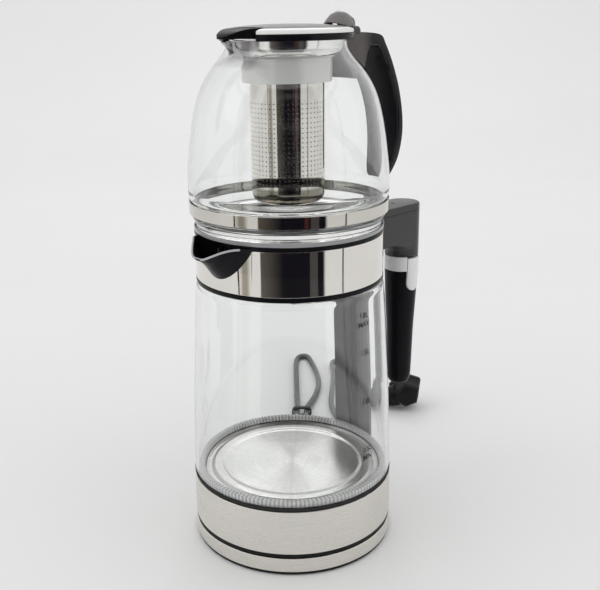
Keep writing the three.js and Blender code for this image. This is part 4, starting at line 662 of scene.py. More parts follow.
def eased(points, step, passes):
    """Points at even steps along a run, with its bends relaxed. Both ends stay."""
    run = [Vector(p) for p in points]
    out, left = [run[0]], step
    for a, b in zip(run, run[1:]):
        while (b - a).length >= left:
            a = a + (b - a).normalized() * left
            out.append(a)
            left = step
        left -= (b - a).length
    if (run[-1] - out[-1]).length < step / 2:
        out.pop()
    out.append(run[-1])
    for _ in range(passes):
        middle = [0.25 * a + 0.5 * b + 0.25 * c for a, b, c in zip(out[2:], out[3:-3], out[4:])]
        out = [*out[:3], *middle, *out[-3:]]
    return out


def power_cord():
    """The cord as a curve, with the place that it starts from and its length."""
    start = (EXIT_R * math.cos(EXIT_ANGLE), EXIT_R * math.sin(EXIT_ANGLE), EXIT_Z)
    route = [start, *(tuple(RELIEF_TIP + Vector(p)) for p in CORD_ROUTE)]
    route += [tuple(PLUG_TAIL - short * PLUG_WAY.normalized()) for short in (6, GAP)]
    fine = eased(spline(route, 6), step=1.5, passes=12)
    data = bpy.data.curves.new("cord", "CURVE")
    data.dimensions = "3D"
    data.bevel_depth = CORD_THICK / 2
    data.bevel_resolution = 6
    data.use_fill_caps = True
    run = data.splines.new("POLY")
    run.points.add(len(fine) - 1)
    for point, place in zip(run.points, fine):
        point.co = (*(c * MM for c in place), 1)
    length = sum((b - a).length for a, b in zip(fine, fine[1:])) * MM
    piece = dress(placed("cord", data), "cord", "base", "power_cord")
    return piece, tuple(c * MM for c in start), length


cord, cord_exit, cord_length = power_cord()


def on_plug(obj):
    """Puts a piece made along +Z on the plug's axis, which points away from the kettle."""
    return moved(obj, Matrix.Translation(PLUG_HEART * MM) @ EXIT_TURN @ LIE_X)


def at_exit(obj):
    """Puts a piece made along +Z on the cord's axis where it leaves the base."""
    return moved(obj, EXIT_TURN @ at(0, 0, EXIT_Z) @ LIE_X)


def grooved(radii, start, pitch, wide, deep):
    """The outline of a moulded boot's rings, with a groove before each."""
    out = []
    for k, r in enumerate(radii):
        z = start + pitch * k
        out += [(r, z, 0.3), (r - deep[0], z + 0.5), (r - deep[1], z + 1.4), (r + wide, z + 1.9, 0.3)]
    return out


PLUG_CORNERS = [(34, 1.08), (100, 1.0), (165, 1.0), (212, 1.0), (262, 0.99), (320, 1.0)]
PLUG_SHAPE = [
    (-12, 9.0), (-11.4, 10.4), (-9.6, 11.9), (-7.8, 12.5), (-5.0, 12.9), (-1.5, 13.6), (1.6, 14.6),
    (4.0, 15.7), (5.0, 15.9), (5.3, 15.3), (6.1, 15.3), (6.4, 16.1), (7.2, 16.5), (11.2, 16.55), (12, 16.0),
]


def plug():
    """Moulded plug: a grip with flat facets and a wide face, and a grooved boot down to the cord."""
    turns = [(math.radians(a), reach) for a, reach in PLUG_CORNERS]
    corners = [(reach * math.cos(a), reach * math.sin(a)) for a, reach in turns]
    outline = []
    for (x0, y0), (x1, y1) in zip(corners, corners[1:] + corners[:1]):
        outline += [(x0 + (x1 - x0) * t, y0 + (y1 - y0) * t) for t in (0.04, 0.2, 0.35, 0.5, 0.65, 0.8, 0.96)]
    grip = on_plug(lofted("plug", [[(-r * v, -r * u, z) for u, v in outline] for z, r in PLUG_SHAPE], 30))
    length, wide_end = PLUG_WAY.length * 0.7, 10.4
    rings = grooved([4.9 + 1.45 * k for k in range(4)], 2.2, 3.6, 0.12, (0.6, 0.6))
    boot = lathe("plug_boot", [(0, 0), (4.3, 0, 0.4), *rings, (wide_end, length), (0, length)], 32)
    turn = Vector((0, 0, 1)).rotation_difference(PLUG_WAY.normalized()).to_matrix().to_4x4()
    fuse(grip, moved(boot, Matrix.Translation(PLUG_TAIL * MM) @ turn), sharp=38)
    return dress(grip, "satin", "base", "plug_body")


def plug_pin(node, side):
    low = PLUG_SHAPE[-1][0] + GAP
    tip = [(0, 0), (2.4, 0), (2.4, 15), (2.2, 17.6), (1.4, 18.8), (0, 19)]
    pin = lathe("pin_" + node[-1], [(r, low + z) for r, z in tip], 24)
    return dress(on_plug(moved(pin, at(0, side, 0))), "brass", "base", node)


def strain_relief():
    """Tapered boot with grooves round it, straight out of the base's wall."""
    wall, inner, long = 73.3, 67.4, 24
    profile = [(0, inner), (3.5, inner), (3.5, wall), (4.6, wall, 0.3)]
    profile += grooved([4.6 - 0.12 * k for k in range(5)], wall + 4.6, 3.4, -0.12, (0.7, 0.75))
    boot = at_exit(lathe("boot", profile + [(3.9, wall + long, 0.4), (0, wall + long)], 32))
    inside = moved(box("keep", (60, -20, 0), (70.6, 20, 20)), EXIT_TURN)
    flange = within(copied("strain_relief", "boot_flange"), inside)
    return dress(join([boot, flange], "relief"), "cord", "base", "strain_relief")


plug_piece = plug()
pins = [plug_pin("plug_pin_1", -9.5), plug_pin("plug_pin_2", 9.5)]
relief = strain_relief()
tie = dress(copied("cord_tie", "tie", 0.3), "satin", "base", "cord_tie")


# Floor and light, in metres

def stage():
    """One pale sheet: a floor that curves up far behind the part."""
    near, bend, radius, top, half = -6.0, 1.6, 1.2, 5.0, 7.0
    rows = [(near, 0.0), (near / 2, 0.0), (0.0, 0.0), (bend, 0.0)]
    rise = [a * math.pi / 24 for a in range(1, 13)]
    rows += [(bend + radius * math.sin(a), radius - radius * math.cos(a)) for a in rise]
    rows += [(bend + radius, top)]
    turn = Matrix.Rotation(math.radians(VIEW_TURN), 3, "Z")
    verts = [turn @ Vector((x, y, z)) for y, z in rows for x in (-half, half)]
    faces = [(2 * i, 2 * i + 1, 2 * i + 3, 2 * i + 2) for i in range(len(rows) - 1)]
    floor = made("floor", verts, faces, sharp=80, scale=1.0)
    n = Nodes("pale_floor")
    cloud = n.noise(n.place(), 2.5)
    n.set(Base_Color=n.mixed(cloud, (0.80, 0.80, 0.805), (0.84, 0.84, 0.84)), Roughness=0.75)
    floor.data.materials.append(n.material)


ROOM_WHITE = (0.88, 0.875, 0.86)


def card(name, azimuth, half, distance, low, colour, soft=0.0, to=None):
    """A panel that only reflections see. It stands round the part at degrees of azimuth off the camera's
    side, and where it starts at the floor it runs in along it. Its sides fade into the room over some
    degrees, or its colour runs to another across it."""
    steps, high, near, floor = 12, 1.2, 0.3, 0.01
    azimuth += FRONT
    line = [(distance, high), (distance, low)] + ([(near, low)] if low < floor else [])
    verts, faces = [], []
    for i in range(steps + 1):
        a = math.radians(azimuth - half + 2 * half * i / steps)
        verts += [(r * math.cos(a), r * math.sin(a), z) for r, z in line]
    size = len(line)
    for start in range(0, size * steps, size):
        faces += [(start + k, start + size + k, start + size + k + 1, start + k + 1) for k in range(size - 1)]
    panel = made(name, verts, faces, sharp=80, scale=1.0)
    n = Nodes(name)
    if soft:
        turn = n.math("SUBTRACT", n.polar()[0], math.radians(azimuth))
        away = n.math("ARCCOSINE", n.math("COSINE", turn))
        fade = n.spread(away, 0.0, 1.0, math.radians(half - soft), math.radians(half))
        colour = n.mixed(fade, colour, ROOM_WHITE)
    if to:
        ends = math.radians(azimuth - half), math.radians(azimuth + half)
        fade = n.spread(n.polar()[0], 0.0, 1.0, *ends)
        colour = n.mixed(fade, colour, to)
    bounces = n.add("LightPath", out="Glossy Depth")
    n.set(Base_Color=colour, Roughness=0.9, Specular_IOR_Level=0.1)
    n.set(Alpha=n.math("GREATER_THAN", bounces, 0.5))
    panel.data.materials.append(n.material)
    for ray in ("camera", "diffuse", "volume_scatter", "shadow"):
        setattr(panel, "visible_" + ray, False)


def lamp(name, azimuth, height, aim, size, power):
    """A soft lamp at degrees of azimuth off the camera's side, aimed at a height on the axis."""
    distance, a = 1.9, math.radians(FRONT + azimuth)
    data = bpy.data.lights.new(name, "AREA")
    data.shape = "RECTANGLE"
    data.size, data.size_y = size
    data.energy = power
    place = Vector((distance * math.cos(a), distance * math.sin(a), height))
    obj = placed(name, data)
    obj.location = place
    obj.rotation_euler = (Vector((0, 0, aim)) - place).to_track_quat("-Z", "Y").to_euler()


def lighting():
    """A pale room, three lamps, and the dark and warm panels that the bright metal reflects."""
    world = bpy.data.worlds.new("world")
    scene.world = world
    world.use_nodes = True
    background = world.node_tree.nodes["Background"].inputs
    background["Color"].default_value = (0.93, 0.93, 0.925, 1)
    background["Strength"].default_value = 0.96
    lamp("key", -62, 1.7, 0.2, (2.0, 2.0), 6.6)
    lamp("fill", 70, 1.3, 0.2, (2.0, 2.0), 3.3)
    lamp("back", 180, 1.7, 0.05, (1.2, 0.8), 5.5)
    dark_line = (0.02, 0.02, 0.02)
    card("front_dark", 4, 37.5, 0.78, 0.002, (0.008, 0.007, 0.012), soft=3.0)
    card("front_brown", -20.5, 12.5, 0.775, 0.003, (0.125, 0.112, 0.096), to=(0.012, 0.010, 0.014))
    card("front_streak", 27.5, 4.5, 0.77, 0.003, (0.085, 0.078, 0.080))
    card("front_red", 18.5, 2.1, 0.765, 0.07, (0.085, 0.026, 0.022))
    card("left_line", -60.5, 0.9, 0.74, 0.002, dark_line)
    card("left_warm", -52, 7.5, 0.79, 0.002, (0.38, 0.35, 0.30), soft=5.0)
    card("right_line", 63.5, 0.9, 0.74, 0.002, dark_line)


stage()
lighting()


# Power base

R = 73.0
BAND_EDGES = (0.2, 0.35, 0.35, 0.2)
FEET = around(3, 58, -30)
BASE_SCREWS = around(3, 45, 90)
BASE_SCREW_LOW = 0.95
KETTLE_SCREWS = around(3, 64.6, 30)
KETTLE_SCREW_LOW = 14.05


def steel_band(name, low, high):
    return ring(name, R - 0.8, R, low, high, BAND_EDGES, 2 * SEGS)


def exit_hole():
    return at_exit(rod("exit", 3.8, 60, 80, segments=32))


def screw_piece(node, place, low, top, body):
    """Pan-head screw with a cross recess, pointing up."""
    x, y = place
    head = low + 0.7
    profile = [
        (0, low), (2.0, low), (3.2, low + 0.25, 0.2), (3.2, head), (1.5, head), (1.5, top - 1), (0.9, top),
        (0, top),
    ]
    screw = lathe("screw_" + node, profile, 24, place)
    for a, b in ((1.7, 0.32), (0.32, 1.7)):
        cut(screw, box("cross", (x - a, y - b, low - 1), (x + a, y + b, low + 0.45)))
    return dress(screw, "screw", body, node)


def screw_seats(piece, places, low):
    """Sinks and holes for screws whose heads start at a height."""
    for place in places:
        cut(piece, rod("sink", 3.5, low - 3, low + 1.05, place), rod("hole", 1.8, low, low + 5, place))


def base_feet():
    profile = [(0, 0.25), (4.4, 0.25), (4.8, 0), (5.6, 0, 0.3), (6, 0.4), (6, 1.6, 0.2), (0, 1.6)]
    for i, place in enumerate(FEET):
        foot = lathe(f"foot_{i + 1}", profile, 48, place)
        dress(foot, "rubber", "base", f"base_foot_{i + 1}")


def base_tray():
    profile = [
        (0, 0), (14, 0, 0.4), (14.8, 0.8), (40, 0.8), (40.3, 1.1), (41.1, 1.1), (41.4, 0.8),
        (72.35, 0.8, 0.5), (72.35, 2.8), (72.05, 2.8), (72.05, 11), (69.85, 11), (69.85, 3), (19, 3),
        (19, 6.7, 0.4), (15, 6.7, 0.4), (15, 3), (0, 3),
    ]
    tray = lathe("tray", profile)
    cut(tray, *[rod("seat", 6.3, -2, 1.9, place) for place in FEET])
    screw_seats(tray, BASE_SCREWS, BASE_SCREW_LOW)
    dress(cut(tray, exit_hole()), "satin", "base", "base_tray")


def base_top():
    low, top = 11.3, 13.6
    profile = [
        (17.2, low), (71.9, low), (71.9, top, 0.4), (66, top, 0.2), (65.4, 13.1, 0.2), (64.6, 13.1, 0.2),
        (64, top, 0.2), (24, top, 0.3), (22.8, 12.9, 0.3), (20.6, 12.9, 0.3), (19.6, top, 0.3),
        (17.2, top, 0.3),
    ]
    cover = lathe("top_cover", profile)
    posts = [ring("post", 1.8, 4.2, 3.3, low + 0.1, segments=24, place=place) for place in BASE_SCREWS]
    dress(join([cover, *posts], "top_plate"), "satin", "base", "base_top")


def base_connector():
    floor, top = 11.5, 20.5
    profile = [
        (0, 7), (19.5, 7), (19.5, 11), (16.9, 11), (16.9, top, 0.8), (12.8, top, 0.3), (12.8, floor),
        (11.0, floor), (11.0, top, 0.3), (8.0, top, 0.3), (8.0, floor), (6.2, floor), (6.2, top, 0.3),
        (3.0, top, 0.5), (3.0, floor), (0, floor),
    ]
    dress(lathe("stub", profile, 96), "satin", "base", "base_connector")


base_feet()
for i, place in enumerate(BASE_SCREWS):
    screw_piece(f"base_screw_{i + 1}", place, BASE_SCREW_LOW, 10.7, "base")
base_tray()
dress(cut(steel_band("band_base", 3.1, 13.6), exit_hole()), "band", "base", "base_band")
base_top()
base_connector()


# Kettle base

def kettle_bottom():
    low = 13.9
    profile = [
        (18, low, 0.4), (48, low), (48.4, 14.3), (49.4, 14.3), (49.8, low), (72.4, low, 0.6), (72.4, 16.7),
        (71.9, 16.7), (71.9, 24), (69.9, 24), (69.9, 16.1), (20.2, 16.1), (20.2, 26, 0.3), (18, 26, 0.3),
    ]
    bottom = lathe("kettle_floor", profile)
    screw_seats(bottom, KETTLE_SCREWS, KETTLE_SCREW_LOW)
    dress(bottom, "satin", "kettle", "kettle_bottom")


def kettle_socket():
    low, roof = 14, 21.5
    profile = [
        (0, low), (2.0, low), (2.4, 14.6), (2.4, roof), (6.8, roof), (6.8, low, 0.1), (7.4, low, 0.1),
        (7.4, roof), (11.6, roof), (11.6, low, 0.1), (12.2, low, 0.1), (12.2, roof), (17.7, roof, 0.4),
        (17.7, 26.3), (22, 26.3), (22, 28.5), (0, 28.5),
    ]
    dress(lathe("socket_body", profile, 96), "satin", "socket", "kettle_socket")


def heating_plate():
    profile = [
        (0, 51.4), (49.6, 51.4, 1.0), (52.3, 52.2, 0.6), (58.4, 52.2, 0.8), (60.0, 51.1, 0.5),
        (63.2, 51.1, 0.2), (63.2, 52.2, 0.2), (64.4, 52.2, 0.2), (64.4, 49.9, 0.3), (59.4, 49.9),
        (57.9, 51.0), (53.1, 51.0), (51.6, 50.2), (0, 50.2),
    ]
    dress(lathe("plate", profile, 2 * SEGS), "plate", "kettle", "heating_plate")


def seat_ring():
    """Clear ring inside the foot of the glass, with fine ribs on its inner side."""
    per_rib, outer, crest, deep = 6, 69.4, 65.15, 0.85
    count = RIBS * per_rib
    lines = []
    for z, wider in ((52.5, 0), (56.0, 0.25)):
        waves = [0.5 - 0.5 * math.cos(2 * math.pi * i / per_rib) for i in range(count)]
        radii = [crest + deep * wave + wider for wave in waves]
        spots = around(count, 1, 0)
        inside = [(r * x, r * y, z) for r, (x, y) in zip(radii, spots)]
        lines.append((inside, [(outer * x, outer * y, z) for x, y in spots]))
    verts = lines[0][0] + lines[0][1] + lines[1][1] + lines[1][0]
    faces = []
    for k in range(4):
        a, b = k * count, (k + 1) % 4 * count
        faces += [(a + i, a + (i + 1) % count, b + (i + 1) % count, b + i) for i in range(count)]
    dress(made("rib_ring", verts, faces), "ribs", "kettle", "glass_seat_ring")


GLASS = [
    (72.5, 52.5), (71.85, 78), (71.2, 104), (70.25, 122), (69.2, 141), (68.2, 160), (67.2, 178), (66.2, 190),
]
GLASS_WALL = 2.6


def kettle_glass():
    outer = spline(GLASS, 6)
    inner = [(r - GLASS_WALL, z) for r, z in reversed(outer)]
    neck = [
        (66.1, 191.4, 1.2), (64.9, 195.3, 1.2), (62.2, 195.6, 0.4), (62, 197), (62, 210, 1.0),
        (59.4, 210, 1.0), (59.4, 196.2, 0.8), (63.5, 190.6, 1.2),
    ]
    profile = [(*outer[0], 0.9), *outer[1:-1], *neck, *inner[1:-1], (*inner[-1], 0.9)]
    dress(lathe("glass_wall", profile, 2 * SEGS), "glass", "kettle", "kettle_glass")


def glass_radius(z):
    """Outer radius of the kettle glass at a height."""
    for (r0, z0), (r1, z1) in zip(GLASS, GLASS[1:]):
        if z <= z1:
            return r0 + (r1 - r0) * (z - z0) / (z1 - z0)
    return GLASS[-1][0]


def spine():
    """Translucent strip that follows the back of the glass, with rounded edges and a groove for the leads."""
    wide, thick, steps, half_groove = 14.9, 3.95, 16, 4.5
    low, high, top, rows = 52.5, 191, 195.5, 36
    rings = []
    for z in [low + (high - low) * i / rows for i in range(rows + 1)] + [top]:
        base = glass_radius(z) + 0.35
        points = []
        for k in range(steps + 1):
            a = math.radians(-wide + 2 * wide * k / steps)
            out = base + (thick - 0.9 * abs(2 * k / steps - 1) ** 6)
            points.append((out * math.cos(a), out * math.sin(a), z))
        for k in range(steps + 1):
            a = math.radians(wide - 2 * wide * k / steps)
            points.append((base * math.cos(a), base * math.sin(a), z))
        rings.append(points)
    section = [(-1, -half_groove), (3.4, -half_groove), (3.4, half_groove), (-1, half_groove)]
    heights = [51 + 146 * i / 30 for i in range(31)]
    groove = lofted("groove", [[(glass_radius(z) + deep, y, z) for deep, y in section] for z in heights])
    dress(cut(lofted("strip", rings), groove), "smoked", "kettle", "spine_cover")


kettle_bottom()
for i, place in enumerate(KETTLE_SCREWS):
    screw_piece(f"kettle_screw_{i + 1}", place, KETTLE_SCREW_LOW, 26.9, "kettle")
kettle_socket()
dress(steel_band("band_kettle", 17.0, 49.6), "band", "kettle", "kettle_band")
seal = ring("seal", 64.7, 72.7, 49.9, 52.2, (0.3, 0.6, 0.8, 0.3))
dress(seal, "rubber", "kettle", "kettle_seal")
heating_plate()
seat_ring()
kettle_glass()
spine()


# Collar and kettle spout

LIP_Z, LIP_DROP = 231.2, 7.2
KEEL_ROOT, KEEL_TIP = 206.5, 223.0
SPOUT_ROOT_X, SPOUT_TIP_X, SPOUT_HALF = -64.4, -82.5, 26
COLLAR_LOW, FRAME_TOP = 199.2, 232.0
SPOUT_SHARES = [
    (-0.25, 1.08, 0, -0.25), (0, 1, 0, 0), (0.28, 0.78, 0.07, 0.33), (0.55, 0.58, 0.3, 0.67),
    (0.8, 0.38, 0.66, 0.88), (0.93, 0.24, 0.9, 0.97), (1, 0.1, 1, 1),
]


def spout_stations():
    """Place, half width, lip height and keel height along the spout, from behind the collar to the tip."""
    for along, wide, drop, rise in spline(SPOUT_SHARES, 5):
        x = SPOUT_ROOT_X + (SPOUT_TIP_X - SPOUT_ROOT_X) * min(along, 1.0)
        lip = LIP_Z - LIP_DROP * min(max(drop, 0), 1)
        yield x, SPOUT_HALF * wide, lip, KEEL_ROOT + (KEEL_TIP - KEEL_ROOT) * min(rise, 1)


def spout_wedge(name, margin, above):
    """The spout's wedge, grown by a margin and open upwards."""
    rings = []
    for x, half, lip, keel in spout_stations():
        half = max(half + margin, 0.3)
        keel = min(keel - margin, lip - 0.3)
        if x < SPOUT_TIP_X + 0.09:
            x -= margin
        points = []
        for k in range(33):
            s = -1 + k / 16
            s = math.copysign(abs(s) ** 0.85, s)
            points.append((x, half * s, keel + (lip - keel) * abs(s) ** 1.95))
        rings.append([*points, (x, half, lip + above), (x, -half, lip + above)])
    return lofted(name, rings)


def spout_bead():
    """Fine pale edge along the spout's lip."""
    root_x, end_x, tip_x, thick = -66.2, -81.6, -81.75, 0.7
    stations = [(x, half, lip) for x, half, lip, _ in spout_stations() if x < root_x]
    near = [Vector((max(x, end_x), max(half - 0.6, 0.9), lip - 0.2)) for x, half, lip in stations]
    path = near + [Vector((tip_x, 0, near[-1].z))] + [Vector((p.x, -p.y, p.z)) for p in reversed(near)]
    rings = []
    for i, p in enumerate(path):
        along = (path[min(i + 1, len(path) - 1)] - path[max(i - 1, 0)]).normalized()
        side = along.cross(Vector((0, 0, 1))).normalized()
        up = side.cross(along)
        rings.append([tuple(p + thick * (u * side + v * up)) for u, v in around(10, 1, 0)])
    dress(lofted("spout_bead", rings), "bead", "kettle")


def lug(low, margin=0.0):
    """The block on the collar that the handle's arm goes round."""
    return box("lug", (low, -8 - margin, 210 - margin), (88 + margin, 8 + margin, 219 + margin))


def collar_frame():
    profile = [
        (62.45, COLLAR_LOW), (64.4, COLLAR_LOW), (64.4, 229.6), (65.7, 229.6, 0.3), (65.7, FRAME_TOP, 0.5),
        (60.2, FRAME_TOP, 0.5), (60.2, 210.3), (62.45, 210.3),
    ]
    collar = lathe("frame_ring", profile)
    beak = within(spout_wedge("beak", 0, 0), ring("keep", 62.8, 86, COLLAR_LOW, 236, segments=96))
    fuse(collar, beak, lug(62.6))
    duct = moved(rod("duct", 2.6, 57, 91, segments=24), at(0, 0, 214.5) @ LIE_X)
    cut(collar, spout_wedge("mouth", -1.7, 5.4), duct)
    dress(collar, "black", "kettle", "collar_frame")


def collar_band():
    band = ring("band_collar", 64.75, 65.5, COLLAR_LOW, 229.3, (0.2, 0.3, 0.3, 0.2), 2 * SEGS)
    cut(band, spout_wedge("room", 0.3, 5.4), lug(60, 0.3), sharp=40)
    dress(band, "mirror", "kettle", "collar_band")


gasket = ring("gasket", 62.3, 65.65, 195.9, 198.9, (0.3, 0.5, 0.5, 0.3))
dress(gasket, "black", "kettle", "collar_gasket")
collar_frame()
collar_band()
dress(copied("spout_filter", "filter", 0.12, 1), "black", "kettle", "spout_filter")
spout_bead()


# Kettle lid

def kettle_lid():
    rim = [
        (55.4, 225, 0.4), (57.8, 225, 0.6), (57.8, 232.3), (65.65, 232.3, 0.3), (65.65, 235.0, 0.45),
        (64.95, 235.0, 0.2), (64.95, 233.4), (55.4, 233.4, 0.4), (55.4, 229.5), (52.5, 229.5, 0.2),
        (52.5, 228.4, 0.2), (55.4, 228.4),
    ]
    dress(lathe("lid_rim", rim, 2 * SEGS), "rim", "kettle_lid", "kettle_lid_rim")
    disc = rod("vent_disc", 55.1, 229.8, 230.8, segments=SEGS, edge=0.3)
    cut(disc, *[rod("vent", 3, 226, 233, place, 32) for place in around(8, 24, 0)])
    dress(disc, "mirror", "kettle_lid", "kettle_lid_disc")
    seal = [
        (58.1, 225.3, 0.3), (59.9, 225.3, 0.5), (59.9, 226.1), (59.4, 226.4), (59.9, 226.7),
        (59.9, 227.7, 0.5), (58.1, 227.7, 0.3),
    ]
    dress(lathe("lid_seal", seal), "rubber", "kettle_lid", "kettle_lid_seal")


kettle_lid()


# Kettle handle

HANDLE_X, HANDLE_R = 126.0, 13.4
HANDLE_AT = (HANDLE_X, 0)
TRIM_LOW, TRIM_TOP = 175.0, 187.0
ROOT_LOW, ROOT_TOP = 187.3, 200.3
CAP_LOW, CAP_TOP = 224.3, 229.6
TONGUE_HALF, TONGUE_LOW, TONGUE_TOP = 6.6, 158.8, 185.6
LENS_AT, ARM_SCREW_AT = (114, 0), (76, 5.2)


def handle_plan(margin):
    """The handle from above: an arm that starts inside the collar and ends round. The two points between
    split its long sides."""
    r, inner = HANDLE_R + margin, 60.2
    left, right = HANDLE_X - 30, HANDLE_X - 8
    end = arc(HANDLE_X, 0, r, -0.5, 1, 40)
    return [(inner, -r), (left, -r), (right, -r), *end, (right, r), (left, r), (inner, r)]


def off_collar(obj, top):
    """Rounds the arm's end to the collar."""
    return cut(obj, rod("round", 66.0, 180, top, segments=SEGS))


def near_side(obj):
    half = TONGUE_HALF + 0.6
    return within(obj, box("near", (HANDLE_X - half, -28, 76), (HANDLE_X + half, -4.4, 224)))


def tongue_bar(name, margin, top):
    """The tongue's outline as a bar along Y: straight sides and a round lower end."""
    half = TONGUE_HALF + margin
    end = arc(HANDLE_X, TONGUE_LOW + TONGUE_HALF, half, 1, 1, 24)
    return side_on(name, [(HANDLE_X - half, top), *end, (HANDLE_X + half, top)], 27)


def tongue_recess():
    plan = tongue_bar("recess", GAP, TRIM_TOP + 0.6)
    return near_side(cut(plan, rod("core", 8.1, 70, 230, HANDLE_AT, 64)))


def lever_axis(margin=0.0):
    """The pin that the lever swings on, lying along X."""
    half = 7.1 + margin
    pin = rod("pin_bar", 0.7 + margin, -half, half, segments=16)
    return moved(pin, at(HANDLE_X, -10.0, 182.6) @ LIE_X)


def housing_root():
    """The housing's lower part: round over the trim, and drawn out as it meets the arm."""
    rings, steps, drawn, bend = [], 24, 24, 3.4
    for i in range(steps + 1):
        up = i / steps
        inner = HANDLE_X - drawn * up ** bend - GAP * up
        r = HANDLE_R - (0.6 if i == 0 else 0)
        outline = arc(HANDLE_X, 0, r, -0.5, 1, steps) + arc(inner, 0, -r, -0.5, 1, steps)
        rings.append([(x, y, ROOT_LOW + (ROOT_TOP - ROOT_LOW) * up) for x, y in outline])
    return lofted("root", rings)


def handle_housing():
    arm = fuse(extruded("housing", handle_plan(0), 200, 224), housing_root())
    hollow = [(x, y) for x, y in handle_plan(-2.4) if x > 89] + [(88.3, 11), (88.3, -11)]
    cut(arm, extruded("cavity", hollow, 202.4, 230), lug(60, 0.3))
    off_collar(arm, 230)
    cut(arm, rod("shank", 1.8, 211, 226, ARM_SCREW_AT, 24), rod("head", 3.5, 222.7, 226, ARM_SCREW_AT, 24))
    dress(arm, "grey", "kettle", "handle_housing")


def handle_cap():
    """The arm's cover, with a rounded upper edge and the lamp's lens."""
    cap = extruded("cap", handle_plan(0), CAP_LOW, CAP_TOP)
    bm = bmesh.new()
    bm.from_mesh(cap.data)
    upper = [e for e in bm.edges if all(v.co.z > (CAP_TOP - 0.1) * MM for v in e.verts)]
    bmesh.ops.bevel(bm, geom=upper, offset=1.6 * MM, segments=5, profile=0.5, affect="EDGES")
    bm.to_mesh(cap.data)
    bm.free()
    off_collar(shade(cap), 240)
    cut(cap, rod("lens_hole", 1.3, 220, 235, LENS_AT, 24))
    dress(cap, "grey", "kettle", "handle_cap")
    lens = [(0, CAP_LOW), (1, CAP_LOW), (1, 229.1, 0.3), (0.55, 229.5), (0, CAP_TOP)]
    dress(lathe("lens", lens, 24, LENS_AT), "marks", "kettle", "indicator_lens")


def handle_grip():
    """Trim ring, grip and pin."""
    low = TRIM_LOW + GAP
    trim = ring("trim", 10.5, HANDLE_R, low, TRIM_TOP, (0, 0.5, 0.5, 0), 96, HANDLE_AT)
    cut(trim, tongue_recess(), lever_axis(GAP))
    dress(trim, "silver", "kettle", "handle_trim")
    run = [
        (0, 76), (4.95, 76.8), (7.9, 78.5), (9.4, 82.9), (9.9, 89.9), (10.9, 125), (12.2, 150.3),
        (13.2, TRIM_LOW),
    ]
    core = [(10.2, TRIM_LOW), (10.2, TRIM_TOP), (0, TRIM_TOP)]
    grip = cut(lathe("grip", spline(run, 8) + core, 96, HANDLE_AT, 40), tongue_recess())
    dress(grip, "grip", "kettle", "handle_grip")
    dress(lever_axis(), "screw", "kettle", "lever_pin")


def switch_lever():
    """The tongue: a slice of a shell that follows the grip and the trim."""
    skin = [(11.4, 125), (12.55, 150), (13.9, 175), (13.9, TONGUE_TOP), (8.8, TONGUE_TOP), (8.8, 125)]
    tongue = within(lathe("lever", skin, 192, HANDLE_AT), tongue_bar("tongue", 0, TONGUE_TOP))
    cut(near_side(tongue), lever_axis(GAP))
    bevelled(tongue, 0.35, 2, 40)
    dress(tongue, "silver", "switch", "switch_lever")


handle_housing()
handle_cap()
handle_grip()
switch_lever()


# Teapot

POT_LOW, POT_HANDLE_TALL = 253, 108
NECK_R, HANDLE_REACH = 40.4, 67.6
HINGE_AT, FLAP_PIN_AT = (55.5, 360.2), (-36, 362.5)
HINGE_X, HINGE_Z = HINGE_AT
LID_LOW, LID_TOP, LID_R = 360.6, 366.5, 43.9
NOTCH_HALF, FAR = 15.3, 73
POT_WALL = [
    (67.7, 253.2), (68.6, 256.0), (68.75, 262.0), (68.3, 272.0), (67.1, 284.0), (65.4, 297.0), (63.0, 310.0),
    (59.6, 322.0), (54.8, 332.0), (49.6, 339.6), (44.6, 345.6), (41.4, 350.0), (40.4, 353.5), (40.4, 357.0),
]


def beaked(x, y, z):
    """Draws the neck out into a beak on the -X side, wider and further out towards its lip."""
    low, tall, half, taper, reach, pinch = 341, 15.0, 15.6, 3.4, 15.1, 0.10
    if x > 0 or z < low or abs(y) > half:
        return x, y, z
    up = min((z - low) / tall, 1.0)
    rise = up * up * (3 - 2 * up) * 0.35 + up ** 2.2 * 0.65
    wide = half - taper * (1 - up)
    across = math.cos(min(abs(y) / wide, 1.0) * math.pi / 2) ** 1.5
    return x - reach * rise * across, y * (1 - pinch * rise * across), z


def teapot_glass():
    foot = [
        (62.3, 233.7, 0.5), (64.5, 233.9, 0.6), (64.5, 236.8, 2.0), (67.4, 243.0, 1.5), (67.6, 244.2),
        (67.6, 252.9, 0.3),
    ]
    wall = spline(POT_WALL, 4)[1:]
    rim = [(40.35, 356.3), (39.9, 357.0), (38.9, 357.0), (38.3, 356.4)]
    inner = [(r, z) for r, z in reversed(beside(wall, 2.2)) if 258 < z < 355.8]
    floor = [
        (65.3, 253.0), (65.1, 246.0, 2.0), (63.2, 242.6, 2.5), (59.5, 240.1, 3.0), (0, 240.1), (0, 237.0),
        (57.0, 237.0, 1.0), (58.6, 236.6, 1.0), (61.2, 234.2, 0.8),
    ]
    verts, faces = spun(rounded(foot + wall[:-1] + rim + inner + floor), 288)
    glass = made("pot", [beaked(*v) for v in verts], faces)
    dress(glass, "beaked", "teapot", "teapot_glass")


def neck_ring():
    low, top = 356.4, 360.3
    profile = [
        (40.7, low), (43.8, low, 0.2), (44.2, 356.8), (44.2, 359.9, 0.3), (43.8, top, 0.3), (40.1, top, 0.3),
        (40.1, 357.3), (40.7, 357.3),
    ]
    neck = fuse(lathe("neck_ring", profile), box("tongue", (43.5, -6.5, low), (47.3, 6.5, 357.6)))
    cut(neck, box("gap", (-FAR, -NOTCH_HALF, 353), (0, NOTCH_HALF, 364)))
    dress(neck, "black", "teapot", "teapot_neck_ring")


